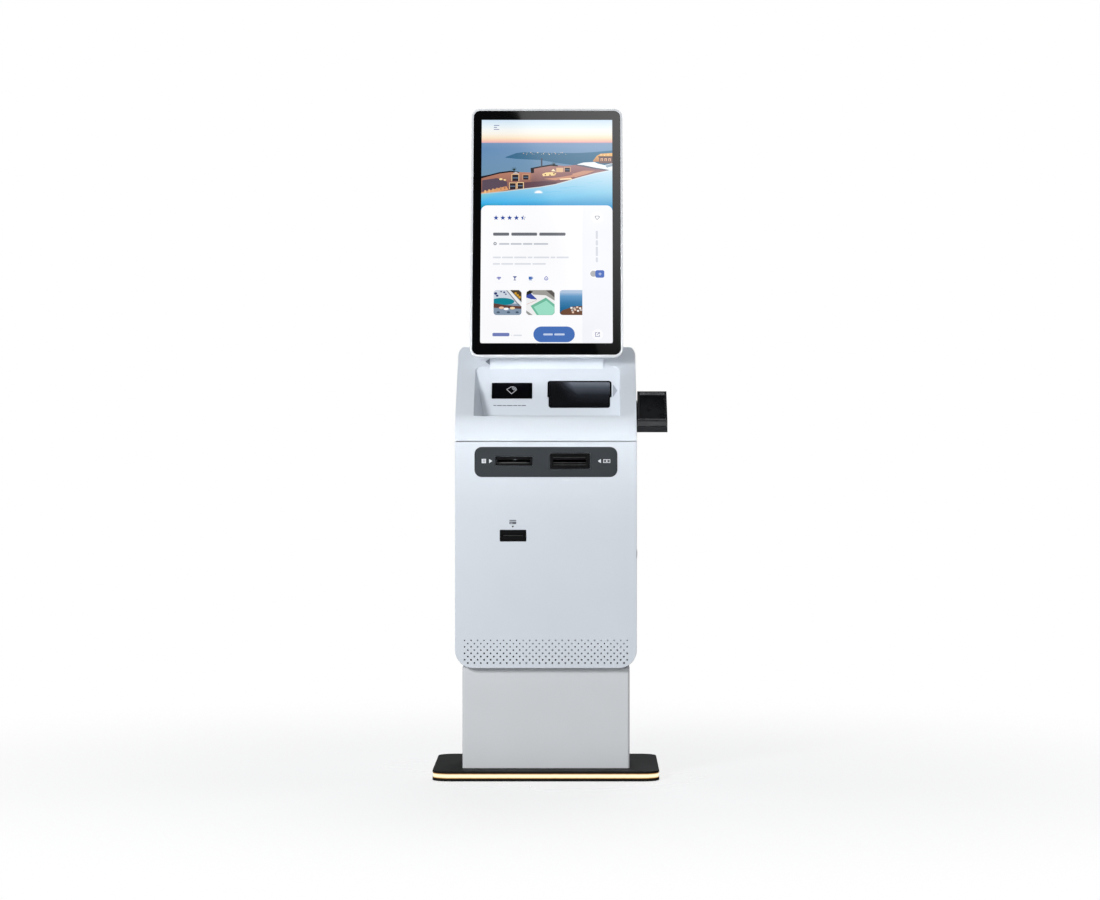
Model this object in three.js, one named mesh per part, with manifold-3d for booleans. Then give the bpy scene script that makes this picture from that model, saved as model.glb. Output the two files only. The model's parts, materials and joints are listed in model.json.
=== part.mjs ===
// Free-standing self-service kiosk: base, pedestal, cabinet, sloping console and leaning screen.
// Millimetres, +Z up, +X to the user's right, +Y to the back.
// The origin is the centre of the underside of the base.
import * as THREE from 'three';
import { mergeVertices } from 'three/addons/utils/BufferGeometryUtils.js';
import Module from 'manifold-3d';

const wasm = await Module();
wasm.setup();

// ---------------------------------------------------------------- driving dimensions
const GAP = 0.3; // clearance between touching pieces
const SHEET = 2; // folded sheet thickness
const STEPS = 8; // segments in a rounded corner

const BASE = { width: 565, depth: 440, radius: 42, lower: 6.5, upper: 19.3, top: 25, strip: 12 };
const PEDESTAL = { halfWidth: 209, front: -147, rear: 73, top: 277.2, radius: 6 };
const BODY = { halfWidth: 226.5, front: -176, rear: 101, bottom: 277.5, seam: 842, corner: 45 };
const DOOR = { back: -157, hingeX: -220, hingeY: -168, knuckle: 4, leafHeight: 60 };
const SHELL_FRONT = -154;
const CONSOLE = { bottom: 843.5, lipRadius: 72, lipCentre: 857, slope: 36, wall: 2.5, topRadius: 12 };
const RECESS = { floor: 906, rear: 118, panelAngle: 60, left: -181, right: 186, radius: 20, draft: 22 };
const FASCIA = { halfWidth: 178, bottom: 754, top: 829, radius: 18, thick: 1.5 };
const MOUTH_Z = 793.8; // height of the receipt and note mouths
const RECEIPT = { left: -126, right: -33, bottom: 782.5, top: 805 };
const NOTE = { left: 10, right: 110, bottom: 774.5, top: 813 };
const CARD = { left: -115, right: -49, bottom: 593.6, top: 622.5 };
const MONITOR_BACK = 45; // rear face of the screen's back cover, from its front
const SCREEN = { width: 388, height: 665, radius: 22, lean: 15, rim: 5.3, bottomY: -46, bottomZ: 1056 };
const NECK = { halfWidth: 144.5, front: 63.5, depth: 36, bottom: -43, top: 250, wall: 3 };
const TILT = { y: 54.25, z: 190, lug: 6, pin: 3 };
const SHELF_TOP = 738;
const REAR_DOOR = { left: -153, right: 160, bottom: 304, top: 826, hingeX: -159.5 };
const REAR_OPENING = { halfWidth: 146, bottom: 312, top: 818 };
const LOCK = { y: -112, z: 560, barrel: 9, camX: 192, reach: 30 };
const HINGE_HEIGHTS = [380, 690];
const REAR_LOCK = { x: 132, z: 560 };
const FAN = { x: 80, z: 700, half: 46, bore: 43, depth: 25, back: 98.7 };
const PRINTER = { left: -129, right: -30, back: -8, rollY: -45, rollZ: 786, rollRadius: 38, platenY: -106 };
const NFC = { left: -139, right: -36, bottom: 50.8, top: 97 };
const SCANNER = { left: 2.5, right: 165, bottom: 24, shoulder: 55.4, top: 102.8, step: 4, radius: 7 };

const FRONT = BODY.front;
const REAR = BODY.rear;
const TRAY = { left: 229.3, right: 303, front: FRONT, lip: 898, bottom: 881, back: 112 };
const DEG = Math.PI / 180;

// ---------------------------------------------------------------- materials
const finish = (color, roughness, metalness = 0) =>
  new THREE.MeshStandardMaterial({ color, roughness, metalness });
const MAT = {
  white: finish(0xdfe4ea, 0.42),
  grey: finish(0xccd0d3, 0.45),
  black: finish(0x17171a, 0.5),
  base: finish(0x2a2a28, 0.5),
  fascia: finish(0x3c4043, 0.5),
  glass: finish(0x050608, 0.08),
  led: finish(0xfaf6c7, 0.5),
  steel: finish(0xa5a8ac, 0.4, 0.9),
  zinc: finish(0xb9bdc1, 0.5, 0.8),
  plastic: finish(0x2b2d31, 0.6),
  paper: finish(0xf4f3ee, 0.9),
  card: finish(0xe9edf5, 0.35),
  rubber: finish(0x1b1b1c, 0.9),
  lens: finish(0x9aa0aa, 0.3),
};

// ---------------------------------------------------------------- outlines
function arc(x, y, radius, startDeg, endDeg, steps = STEPS) {
  const points = [];
  for (let i = 0; i <= steps; i += 1) {
    const angle = (startDeg + ((endDeg - startDeg) * i) / steps) * DEG;
    points.push(new THREE.Vector2(x + radius * Math.cos(angle), y + radius * Math.sin(angle)));
  }
  return points;
}

function circle(x, y, radius, steps = 24) {
  return arc(x, y, radius, 0, 360, steps).slice(0, steps);
}

function point(x, y) {
  return new THREE.Vector2(x, y);
}

// A rectangle with a radius for its lower corners and one for its upper corners.
function roundRect(x0, y0, x1, y1, lower = 0, upper = lower, steps = STEPS) {
  const corner = (x, y, radius, start) =>
    radius > 0 ? arc(x, y, radius, start, start + 90, steps) : [point(x, y)];
  return [
    ...corner(x1 - lower, y0 + lower, lower, 270),
    ...corner(x1 - upper, y1 - upper, upper, 0),
    ...corner(x0 + upper, y1 - upper, upper, 90),
    ...corner(x0 + lower, y0 + lower, lower, 180),
  ];
}

// ---------------------------------------------------------------- solids
function extrude(outline, depth, holes) {
  const shape = new THREE.Shape(outline);
  shape.holes = holes.map((hole) => new THREE.Path(hole));
  return new THREE.ExtrudeGeometry(shape, { depth, bevelEnabled: false, steps: 1 });
}

function alongZ(outline, z0, z1, holes = []) {
  return extrude(outline, z1 - z0, holes).translate(0, 0, z0);
}

// The outline is drawn as (x, z).
function alongY(outline, y0, y1, holes = []) {
  return extrude(outline, y1 - y0, holes).rotateX(Math.PI / 2).translate(0, y1, 0);
}

// The outline is drawn as (y, z).
function alongX(outline, x0, x1, holes = []) {
  const turn = new THREE.Matrix4().makeBasis(
    new THREE.Vector3(0, 1, 0),
    new THREE.Vector3(0, 0, 1),
    new THREE.Vector3(1, 0, 0),
  );
  return extrude(outline, x1 - x0, holes).applyMatrix4(turn).translate(x0, 0, 0);
}

function box(x0, x1, y0, y1, z0, z1) {
  const geometry = new THREE.BoxGeometry(x1 - x0, y1 - y0, z1 - z0);
  return geometry.translate((x0 + x1) / 2, (y0 + y1) / 2, (z0 + z1) / 2);
}

function toSolid(geometry) {
  const bare = geometry.clone();
  bare.deleteAttribute('normal');
  bare.deleteAttribute('uv');
  const merged = mergeVertices(bare, 1e-4);
  return new wasm.Manifold(new wasm.Mesh({
    numProp: 3,
    vertProperties: new Float32Array(merged.attributes.position.array),
    triVerts: new Uint32Array(merged.index.array),
  }));
}

function toGeometry(solid) {
  const mesh = solid.getMesh();
  const geometry = new THREE.BufferGeometry();
  geometry.setAttribute('position', new THREE.BufferAttribute(mesh.vertProperties, 3));
  geometry.setIndex(new THREE.BufferAttribute(mesh.triVerts, 1));
  geometry.computeVertexNormals();
  return geometry;
}

function combine(operation, first, rest) {
  return toGeometry(rest.reduce((solid, next) => solid[operation](toSolid(next)), toSolid(first)));
}

const join = (first, ...rest) => combine('add', first, rest);
const cut = (first, ...rest) => combine('subtract', first, rest);
const common = (first, ...rest) => combine('intersect', first, rest);

// ---------------------------------------------------------------- scene groups
const group = new THREE.Group();

function tiltedGroup(y, z, leanDeg) {
  const child = new THREE.Group();
  child.position.set(0, y, z);
  child.rotation.x = -leanDeg * DEG;
  child.updateMatrix();
  group.add(child);
  return child;
}

// Local frames whose z axis climbs the screen and the recessed panel, with y into the kiosk.
const screenFrame = tiltedGroup(SCREEN.bottomY, SCREEN.bottomZ, SCREEN.lean);
const panelFrame = tiltedGroup(FRONT + RECESS.rear, RECESS.floor, 90 - RECESS.panelAngle);

function add(name, geometry, material, parent = group) {
  const mesh = new THREE.Mesh(geometry, material);
  mesh.name = name;
  parent.add(mesh);
  return mesh;
}

// ---------------------------------------------------------------- base
function buildBase() {
  const { width, depth, radius, lower, upper, top, strip } = BASE;
  const outline = (inset) => roundRect(
    inset - width / 2, inset - depth / 2, width / 2 - inset, depth / 2 - inset, radius - inset,
  );
  const stripInset = 1.5;
  const coreInset = stripInset + strip + GAP;
  const core = alongZ(outline(coreInset), lower - 1, upper - GAP);
  add('base_plate_lower', join(alongZ(outline(0), 0, lower), core), MAT.base);
  const ring = alongZ(outline(stripInset), lower + GAP, upper - GAP, [outline(stripInset + strip)]);
  add('led_diffuser', ring, MAT.led);
  add('base_plate_upper', alongZ(outline(0), upper, top), MAT.base);
}

// ---------------------------------------------------------------- pedestal
function buildPedestal() {
  const { halfWidth, front, rear, top, radius } = PEDESTAL;
  const floor = BASE.top + GAP;
  const lip = 14;
  const inner = radius - SHEET;
  const channel = [
    point(-halfWidth, rear),
    ...arc(-halfWidth + radius, front + radius, radius, 180, 270, 4),
    ...arc(halfWidth - radius, front + radius, radius, 270, 360, 4),
    point(halfWidth, rear),
    point(halfWidth - lip, rear),
    point(halfWidth - lip, rear - SHEET),
    point(halfWidth - SHEET, rear - SHEET),
    ...arc(halfWidth - radius, front + radius, inner, 360, 270, 4),
    ...arc(-halfWidth + radius, front + radius, inner, 270, 180, 4),
    point(-halfWidth + SHEET, rear - SHEET),
    point(-halfWidth + lip, rear - SHEET),
    point(-halfWidth + lip, rear),
  ];
  const plateDepth = 5;
  const plate = roundRect(-halfWidth + 1, front + 1, halfWidth - 1, rear - 1, radius - 1, 0, 4);
  const cableHole = roundRect(-60, -70, 60, -10, 20);
  const topPlate = alongZ(plate, top - plateDepth, top, [cableHole]);
  add('pedestal_shell', join(alongZ(channel, floor, top), topPlate), MAT.grey);

  const reach = SHEET + GAP;
  const flange = alongZ(
    roundRect(-halfWidth + reach, front + reach, halfWidth - reach, rear - reach, inner, 0, 4),
    floor, floor + plateDepth, [cableHole],
  );
  const boltHeads = [-1, 1].flatMap((sideX) => [-1, 1].map((sideY) => {
    const centreY = (front + rear) / 2 + sideY * 75;
    return alongZ(circle(sideX * 160, centreY, 9.5, 6), floor + plateDepth - 1, floor + plateDepth + 7);
  }));
  add('pedestal_floor_flange', join(flange, ...boltHeads), MAT.zinc);

  const inletHole = roundRect(101.7, 60.7, 134.3, 85.3, 2, 2, 2);
  const switchHole = roundRect(145.7, 62.7, 160.3, 83.3, 1, 1, 2);
  const panel = alongY(
    roundRect(-halfWidth, floor, halfWidth, top), rear + GAP, rear + GAP + SHEET,
    [inletHole, switchHole],
  );
  add('pedestal_rear_panel', panel, MAT.grey);
}

// Socket and switch in the lower right of the pedestal's rear panel.
function buildPowerEntry() {
  const face = PEDESTAL.rear + GAP + SHEET;
  const body = alongY(roundRect(102, 61, 134, 85, 2, 2, 2), face - 22, face + 1);
  const flange = alongY(roundRect(99, 58, 137, 88, 3, 3, 3), face + GAP, face + 3);
  const socket = alongY(roundRect(105, 64, 131, 82, 1, 5, 3), face - 16, face + 4);
  const pins = [111, 118, 125].map((x) => box(x - 1, x + 1, face - 17, face - 3, 71, 76));
  add('power_inlet', join(cut(join(body, flange), socket), ...pins), MAT.plastic);

  const pivotY = face - 2;
  const profile = [
    point(pivotY - 8, 66),
    point(pivotY + 3, 66),
    point(pivotY + 5.5, 64.5),
    point(pivotY + 3, 73),
    point(pivotY + 3, 80),
    point(pivotY - 8, 80),
  ];
  add('rocker_switch', alongX(profile, 146.3, 159.7), MAT.black);
}

// ---------------------------------------------------------------- cabinet
function bodyOutline(inset, top) {
  return roundRect(
    -BODY.halfWidth + inset, BODY.bottom + inset, BODY.halfWidth - inset, top, BODY.corner - inset, 0,
  );
}

// The plan with rounded rear corners, used to round both the cabinet and the console.
function bodyPlan(inset, z0, z1) {
  const half = BODY.halfWidth - inset;
  return alongZ(roundRect(-half, FRONT - 60, half, REAR - inset, 0, BODY.corner - inset), z0, z1);
}

function buildCabinet() {
  const top = BODY.seam + 1.2;
  const outer = common(alongY(bodyOutline(0, top), SHELL_FRONT, REAR), bodyPlan(0, 200, 900));
  const inner = common(
    alongY(bodyOutline(SHEET, top + 20), SHELL_FRONT - 20, REAR),
    bodyPlan(SHEET, 200, 900),
  );
  const { halfWidth, bottom, top: openingTop } = REAR_OPENING;
  const opening = box(-halfWidth, halfWidth, REAR - 10, REAR + 10, bottom, openingTop);
  const cableHole = alongZ(roundRect(-60, -70, 60, -10, 20), 260, 300);
  const lockHole = alongX(circle(LOCK.y, LOCK.z, LOCK.barrel + GAP), 200, 240);
  add('cabinet_shell', cut(outer, inner, opening, cableHole, lockHole), MAT.white);

  const frameTop = BODY.seam - 8;
  const openingEdge = 14.2;
  const hole = bodyOutline(openingEdge, frameTop - 12);
  const sleeve = alongY(bodyOutline(openingEdge - SHEET, frameTop - 10), SHELL_FRONT, -127, [hole]);
  const flange = alongY(
    bodyOutline(SHEET + GAP, frameTop), SHELL_FRONT, SHELL_FRONT + SHEET, [hole],
  );
  add('cabinet_door_frame', join(flange, sleeve), MAT.zinc);

  const plan = roundRect(-224, SHELL_FRONT + 3, 224, REAR - SHEET - GAP, 0, BODY.corner - SHEET - 1);
  const cableSlot = roundRect(-150, 10, 150, 70, 15);
  add('cabinet_top_plate', alongZ(plan, BODY.seam - 6, BODY.seam - 4, [cableSlot]), MAT.zinc);

  const shelfPlan = roundRect(-224.2, -120, 224.2, 50);
  const boxHole = roundRect(8, -64, 112, 46);
  add('equipment_shelf', alongZ(shelfPlan, SHELF_TOP - SHEET, SHELF_TOP, [boxHole]), MAT.zinc);
}

// ---------------------------------------------------------------- front door

// A throat that narrows from the front of a bezel to its slit.
function bezel(opening, slit, face, skinBack) {
  const { left, right, bottom, top } = opening;
  const bodyInset = 5;
  const flange = alongY(roundRect(left, bottom, right, top, 1.5, 1.5, 2), face, FRONT - GAP);
  const body = alongY(
    roundRect(left + bodyInset, bottom + bodyInset / 2, right - bodyInset, top - bodyInset / 2),
    face + 1, skinBack,
  );
  return cut(join(flange, body), ...slit);
}

function bezelHole(opening) {
  const edge = 5 - GAP;
  return box(
    opening.left + edge, opening.right - edge, FRONT - 10, FRONT + 10,
    opening.bottom + edge / 2, opening.top - edge / 2,
  );
}

function buildFrontDoor() {
  const outer = alongY(bodyOutline(0, BODY.seam), FRONT, DOOR.back);
  const inner = alongY(bodyOutline(SHEET, BODY.seam - SHEET), FRONT + SHEET, DOOR.back + 5);
  const notches = HINGE_HEIGHTS.map((z) => box(
    -BODY.halfWidth - 1, -BODY.halfWidth + SHEET + 0.2, DOOR.hingeY - 2, DOOR.back + 1,
    z - 3, z + DOOR.leafHeight + 3,
  ));
  const holes = [RECEIPT, NOTE, CARD].map((opening) => bezelHole(opening));
  add('front_door', cut(outer, inner, ...notches, ...holes), MAT.white);

  const face = FRONT - GAP - FASCIA.thick;
  const windows = [RECEIPT, NOTE].map((slot) => roundRect(
    slot.left - GAP, slot.bottom - GAP, slot.right + GAP, slot.top + GAP, 1.5, 1.5, 2,
  ));
  const plate = roundRect(
    -FASCIA.halfWidth, FASCIA.bottom, FASCIA.halfWidth, FASCIA.top, FASCIA.radius,
  );
  add('fascia_plate', alongY(plate, face, FRONT - GAP, windows), MAT.fascia);

  const bezelFace = face - 1;
  const through = -150;
  const receiptSlit = [
    box(-121.5, -37.5, bezelFace - 5, bezelFace + 4, MOUTH_Z - 6, MOUTH_Z + 6),
    box(-120, -39, bezelFace - 5, through, MOUTH_Z - 2.5, MOUTH_Z + 2.5),
  ];
  add('receipt_bezel', bezel(RECEIPT, receiptSlit, bezelFace, -156), MAT.black);
  const noteSlit = [
    box(17.5, 102.5, bezelFace - 5, bezelFace + 12, MOUTH_Z - 13, MOUTH_Z + 13),
    box(20, 100, bezelFace - 5, through, MOUTH_Z - 3, MOUTH_Z + 3),
  ];
  add('note_bezel', bezel(NOTE, noteSlit, bezelFace, -156), MAT.black);
  const cardZ = (CARD.bottom + CARD.top) / 2;
  const cardSlit = [box(-110, -54, FRONT - 10, through, cardZ - 2.2, cardZ + 2.2)];
  add('card_bezel', bezel(CARD, cardSlit, FRONT - 2, -156), MAT.black);

  const arm = box(200, 202, FRONT + SHEET + GAP, -100, LOCK.z + 10, LOCK.z + 30);
  const foot = box(180, 202, FRONT + SHEET + GAP, FRONT + 2 * SHEET + GAP, LOCK.z + 10, LOCK.z + 30);
  const lip = box(190, 202, -102, -100, LOCK.z + 10, LOCK.z + 30);
  add('front_door_catch', join(arm, foot, lip), MAT.zinc);
}

// Two leaf hinges behind the left edge of the door; the pin is part of the fixed leaf.
function buildFrontHinges() {
  const { hingeX: x, hingeY: y, knuckle, leafHeight } = DOOR;
  const third = leafHeight / 3;
  HINGE_HEIGHTS.forEach((z, index) => {
    const leafX = x + 8;
    const strip = box(leafX, leafX + SHEET, y + 7, -128, z, z + leafHeight);
    const ends = [z, z + 2 * third].flatMap((low) => [
      alongZ(circle(x, y, knuckle, 16), low, low + third),
      box(x, leafX + SHEET, y + 1, y + 3, low, low + third),
      box(leafX, leafX + SHEET, y + 1, y + 9, low, low + third),
    ]);
    const pin = alongZ(circle(x, y, 1.8, 12), z, z + leafHeight);
    add(`front_hinge_fixed_${index + 1}`, join(strip, ...ends, pin), MAT.steel);

    const low = z + third + GAP;
    const high = z + 2 * third - GAP;
    const skin = FRONT + SHEET + GAP;
    const knuckleBody = alongZ(circle(x, y, knuckle, 16), low, high);
    const tail = box(x, x + 3, y - 5, y - 2, low, high);
    const leaf = box(x, x + 34, skin, skin + SHEET, low, high);
    const bore = alongZ(circle(x, y, 2.1, 12), low - 1, high + 1);
    const moving = cut(join(knuckleBody, tail, leaf), bore);
    add(`front_hinge_moving_${index + 1}`, moving, MAT.steel);
  });
}

// Cam locks: a barrel with a keyed head, and a cam that turns a quarter turn.
function buildLocks() {
  const { y, z, barrel, camX, reach } = LOCK;
  const side = BODY.halfWidth;
  const frontLock = join(
    alongX(circle(y, z, barrel - 0.2), camX + 2, side + 1),
    alongX(circle(y, z, barrel + 3), side + GAP, side + 1.5),
    box(camX, camX + 3, y - reach, y + 7, z - 6, z + 6),
  );
  add('front_lock', frontLock, MAT.steel);

  const face = REAR + GAP + SHEET;
  const rearLock = join(
    alongY(circle(REAR_LOCK.x, REAR_LOCK.z, barrel - 0.2), REAR - 13, face + 1),
    alongY(circle(REAR_LOCK.x, REAR_LOCK.z, barrel + 3), face + GAP, face + 4),
    box(REAR_LOCK.x - 6, REAR_LOCK.x + 6, REAR - 14, REAR - 11, z - reach, z + 7),
  );
  add('rear_lock', rearLock, MAT.steel);
}

// ---------------------------------------------------------------- rear door and fan

function buildRearDoor() {
  const { left, right, bottom, top, hingeX } = REAR_DOOR;
  const y0 = REAR + GAP;
  const lockHole = circle(REAR_LOCK.x, REAR_LOCK.z, LOCK.barrel + GAP - 0.2);
  const slots = [];
  for (let row = -4; row <= 4; row += 1) {
    const half = Math.sqrt(1 - (row / 5) ** 2) * 40;
    const z = FAN.z + row * 9;
    slots.push(roundRect(FAN.x - half, z - 2.4, FAN.x + half, z + 2.4, 2.3, 2.3, 2));
  }
  const outline = roundRect(left, bottom, right, top, 4, 4, 3);
  add('rear_door', alongY(outline, y0, y0 + SHEET, [lockHole, ...slots]), MAT.white);

  const knuckle = 4;
  const axisY = y0 + knuckle;
  const pitch = 60;
  const fixed = [box(hingeX - 18, hingeX - 5, y0, y0 + SHEET, bottom, top)];
  const moving = [box(hingeX + 5, hingeX + 30, y0 + SHEET + GAP, y0 + 2 * SHEET + GAP, bottom, top)];
  const bores = [];
  const count = Math.floor((top - bottom) / pitch);
  for (let index = 0; index < count; index += 1) {
    const low = bottom + index * pitch + GAP;
    const high = low + pitch - 2 * GAP;
    const own = index % 2 === 0 ? fixed : moving;
    own.push(alongZ(circle(hingeX, axisY, knuckle, 16), low, high));
    if (own === fixed) {
      own.push(box(hingeX - 7, hingeX, y0, y0 + SHEET, low, high));
    } else {
      own.push(box(hingeX, hingeX + 7, y0 + SHEET + GAP, y0 + 2 * SHEET + GAP, low, high));
      bores.push(alongZ(circle(hingeX, axisY, 2.1, 12), low - 1, high + 1));
    }
  }
  fixed.push(alongZ(circle(hingeX, axisY, 1.8, 12), bottom + 1, bottom + count * pitch - 1));
  add('rear_hinge_fixed', join(...fixed), MAT.steel);
  add('rear_hinge_moving', cut(join(...moving), ...bores), MAT.steel);
}

function buildFan() {
  const { x, z, half, bore, depth, back } = FAN;
  const y1 = back + 2;
  const y0 = y1 - depth;
  const outline = roundRect(x - half, z - half, x + half, z + half, 6, 6, 3);
  const frame = alongY(outline, y0, y1, [circle(x, z, bore, 32)]);
  const hubRadius = 17;
  const spokes = [
    box(x - half + 2, x + half - 2, y0, y0 + 3, z - 2, z + 2),
    box(x - 2, x + 2, y0, y0 + 3, z - half + 2, z + half - 2),
    alongY(circle(x, z, hubRadius, 20), y0, y0 + 3),
  ];
  add('fan_frame', join(frame, ...spokes), MAT.plastic);

  const hub = alongY(circle(x, z, hubRadius, 20), y0 + 4, y1 - 2);
  const blades = [];
  const count = 7;
  for (let index = 0; index < count; index += 1) {
    const blade = new THREE.BoxGeometry(26, 1.6, 20);
    blade.rotateX(38 * DEG).translate(hubRadius + 10, 0, 0);
    blade.rotateY((index / count) * 2 * Math.PI).translate(x, (y0 + y1) / 2 + 1, z);
    blades.push(blade);
  }
  add('fan_rotor', join(hub, ...blades), MAT.plastic);
}

// ---------------------------------------------------------------- modules inside the cabinet

function buildPrinter() {
  const { left, right, back, rollY, rollZ, rollRadius, platenY } = PRINTER;
  const floor = SHELF_TOP + GAP;
  const cheek = roundRect(-118, floor, back, 812, 0, 6, 3);
  const spindleRadius = 5;
  const body = join(
    box(left, right, -118, back, floor, floor + SHEET),
    alongX(cheek, left, left + SHEET),
    alongX(cheek, right - SHEET, right),
    box(left, right, -152, -116, 762, 818),
    alongX(circle(rollY, rollZ, spindleRadius, 16), left, right),
  );
  const throat = box(-119, -40, -153, -110, MOUTH_Z - 2.5, MOUTH_Z + 2.5);
  const platenBores = alongX(circle(platenY, MOUTH_Z, 2.8, 12), left - 1, right + 1);
  add('receipt_printer', cut(body, throat, platenBores), MAT.plastic);

  const edge = 6;
  const roll = alongX(
    circle(rollY, rollZ, rollRadius, 40), left + edge + 3.5, right - edge - 3.5,
    [circle(rollY, rollZ, spindleRadius + 1, 16)],
  );
  add('paper_roll', roll, MAT.paper);
  const platen = join(
    alongX(circle(platenY, MOUTH_Z, 7, 20), left + edge, right - edge),
    alongX(circle(platenY, MOUTH_Z, 2.5, 12), left - 2, right + 2),
  );
  add('platen_roller', platen, MAT.rubber);
}

function buildNoteAcceptor() {
  const floor = SHELF_TOP + GAP;
  const head = alongX([
    point(-152, 762), point(-118, floor), point(-66, floor), point(-66, 818), point(-152, 818),
  ], NOTE.left, NOTE.right);
  const throat = box(20, 100, -153, -85, MOUTH_Z - 3, MOUTH_Z + 3);
  add('note_acceptor', cut(head, throat), MAT.plastic);

  const body = box(13, 107, -62, 42, 590, 822);
  const grip = join(
    box(45, 51, -74, -60, 610, 616),
    box(69, 75, -74, -60, 610, 616),
    box(45, 75, -74, -70, 610, 616),
  );
  add('cash_box', join(body, grip), MAT.plastic);
}

function buildCardDispenser() {
  const x = (CARD.left + CARD.right) / 2;
  const cardZ = (CARD.bottom + CARD.top) / 2;
  const deck = 632;
  const body = join(
    box(x - 40, x + 40, -152, 34, 588, deck),
    box(x - 42, x + 42, 24, 34, 588, 728),
    box(x - 32, x - 29, -68, 30, deck - 2, 728),
    box(x + 29, x + 32, -68, 30, deck - 2, 728),
    box(-224.2, x, 30, 34, 588, 632),
    box(x - 32, x - 18, -70, -67, deck - 2, 728),
    box(x + 18, x + 32, -70, -67, deck - 2, 728),
  );
  const throat = box(x - 28, x + 28, -153, -72, cardZ - 2.2, cardZ + 2.2);
  const groove = box(x - 14, x + 14, -60, 22, deck - 5, deck + 1);
  add('card_dispenser', cut(body, throat, groove), MAT.plastic);
  add('card_stack', box(x - 27, x + 27, -66, 20, deck + 0.8, deck + 78), MAT.card);
  add('card_pusher', box(x - 13, x + 13, -10, 20, deck - 4.5, deck + 0.2), MAT.steel);
}

function buildElectronics() {
  const floor = BODY.bottom + SHEET;
  const legs = 6;
  const finned = (x0, x1, y0, y1, height) => {
    const parts = [box(x0, x1, y0, y1, floor + legs, floor + height - 6)];
    for (let x = x0 + 4; x <= x1 - 6; x += 12) {
      parts.push(box(x, x + 3, y0, y1, floor + height - 7, floor + height));
    }
    [x0 + 8, x1 - 18].forEach((x) => {
      parts.push(box(x, x + 10, y0, y1, floor + GAP, floor + legs + 1));
    });
    return join(...parts);
  };
  add('industrial_pc', finned(-172, -70, -60, 80, 62), MAT.plastic);
  add('power_supply', finned(70, 172, -40, 80, 48), MAT.zinc);
}

// ---------------------------------------------------------------- console
// Side outline: upright front, rolled lip, straight slope, rounded top and upright rear.
function consoleProfile(inset, bottom) {
  const { lipRadius, lipCentre, slope, topRadius } = CONSOLE;
  const lipEnd = 90 + slope;
  const tangent = Math.tan(slope * DEG);
  const across = Math.cos(lipEnd * DEG);
  const up = Math.sin(lipEnd * DEG);
  const slopeStartY = FRONT + lipRadius * (1 + across);
  const slopeStartZ = lipCentre + lipRadius * up;
  const topY = REAR - topRadius;
  const topTangentY = topY + topRadius * across;
  const topZ = slopeStartZ + (topTangentY - slopeStartY) * tangent - topRadius * up;
  return [
    point(FRONT + inset, bottom),
    ...arc(FRONT + lipRadius, lipCentre, lipRadius - inset, 180, lipEnd, 16),
    ...arc(topY, topZ, topRadius - inset, lipEnd, 0, 8),
    point(REAR - inset, bottom),
  ];
}

// The hollow in the console's slope, enlarged by grow on its walls.
function recess(grow) {
  const { floor, rear, panelAngle, left, right, radius, draft } = RECESS;
  const tangent = Math.tan(panelAngle * DEG);
  const high = 1120;
  const low = floor - grow;
  const footY = FRONT + rear + grow * Math.tan((panelAngle / 2) * DEG);
  const frontY = FRONT - 40;
  const side = [
    point(frontY, low),
    point(footY, low),
    point(footY + (high - low) / tangent, high),
    point(frontY, high),
  ];
  const wedge = alongX(side, left, right + grow);
  const cosine = Math.cos(CONSOLE.slope * DEG);
  const fullDepth = (slopeHeight(FRONT + rear) - floor) * cosine;
  const position = wedge.attributes.position;
  for (let i = 0; i < position.count; i += 1) {
    if (position.getX(i) < left + 1) {
      const depth = (slopeHeight(position.getY(i)) - position.getZ(i)) * cosine;
      position.setX(i, left - grow + (draft * depth) / fullDepth);
    }
  }
  const edgeY = FRONT + rear + (slopeHeight(FRONT + rear) - floor) * edgeRatio();
  const along = (edgeY - FRONT) / cosine + grow / Math.sin((panelAngle - CONSOLE.slope) * DEG);
  const outline = roundRect(left - grow, -200, right + grow, along, 0, radius, 10);
  const prism = alongZ(outline, -200, 200).rotateX(CONSOLE.slope * DEG);
  prism.translate(0, FRONT, slopeHeight(FRONT));
  return common(wedge, prism);
}

// Height of the console's straight slope at a given y.
function slopeHeight(y) {
  const { lipRadius, lipCentre, slope } = CONSOLE;
  const lipEnd = (90 + slope) * DEG;
  const startY = FRONT + lipRadius * (1 + Math.cos(lipEnd));
  const startZ = lipCentre + lipRadius * Math.sin(lipEnd);
  return startZ + (y - startY) * Math.tan(slope * DEG);
}

// How far back the steep panel meets the slope, per unit of recess depth at its foot.
function edgeRatio() {
  return 1 / (Math.tan(RECESS.panelAngle * DEG) - Math.tan(CONSOLE.slope * DEG));
}

// The scanner's window: a wide upper part over a slightly narrower lower part.
function scannerOutline(inset) {
  const { left, right, bottom, shoulder, top, step, radius } = SCANNER;
  const r = radius - inset;
  return [
    ...arc(right - step - radius, bottom + radius, r, 270, 360, 6),
    point(right - step - inset, shoulder + inset),
    point(right - inset, shoulder + inset),
    ...arc(right - radius, top - radius, r, 0, 90, 6),
    ...arc(left + radius, top - radius, r, 90, 180, 6),
    point(left + inset, shoulder + inset),
    point(left + step - 1 + inset, shoulder + inset),
    ...arc(left + step - 1 + radius, bottom + radius, r, 180, 270, 6),
  ];
}

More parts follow.
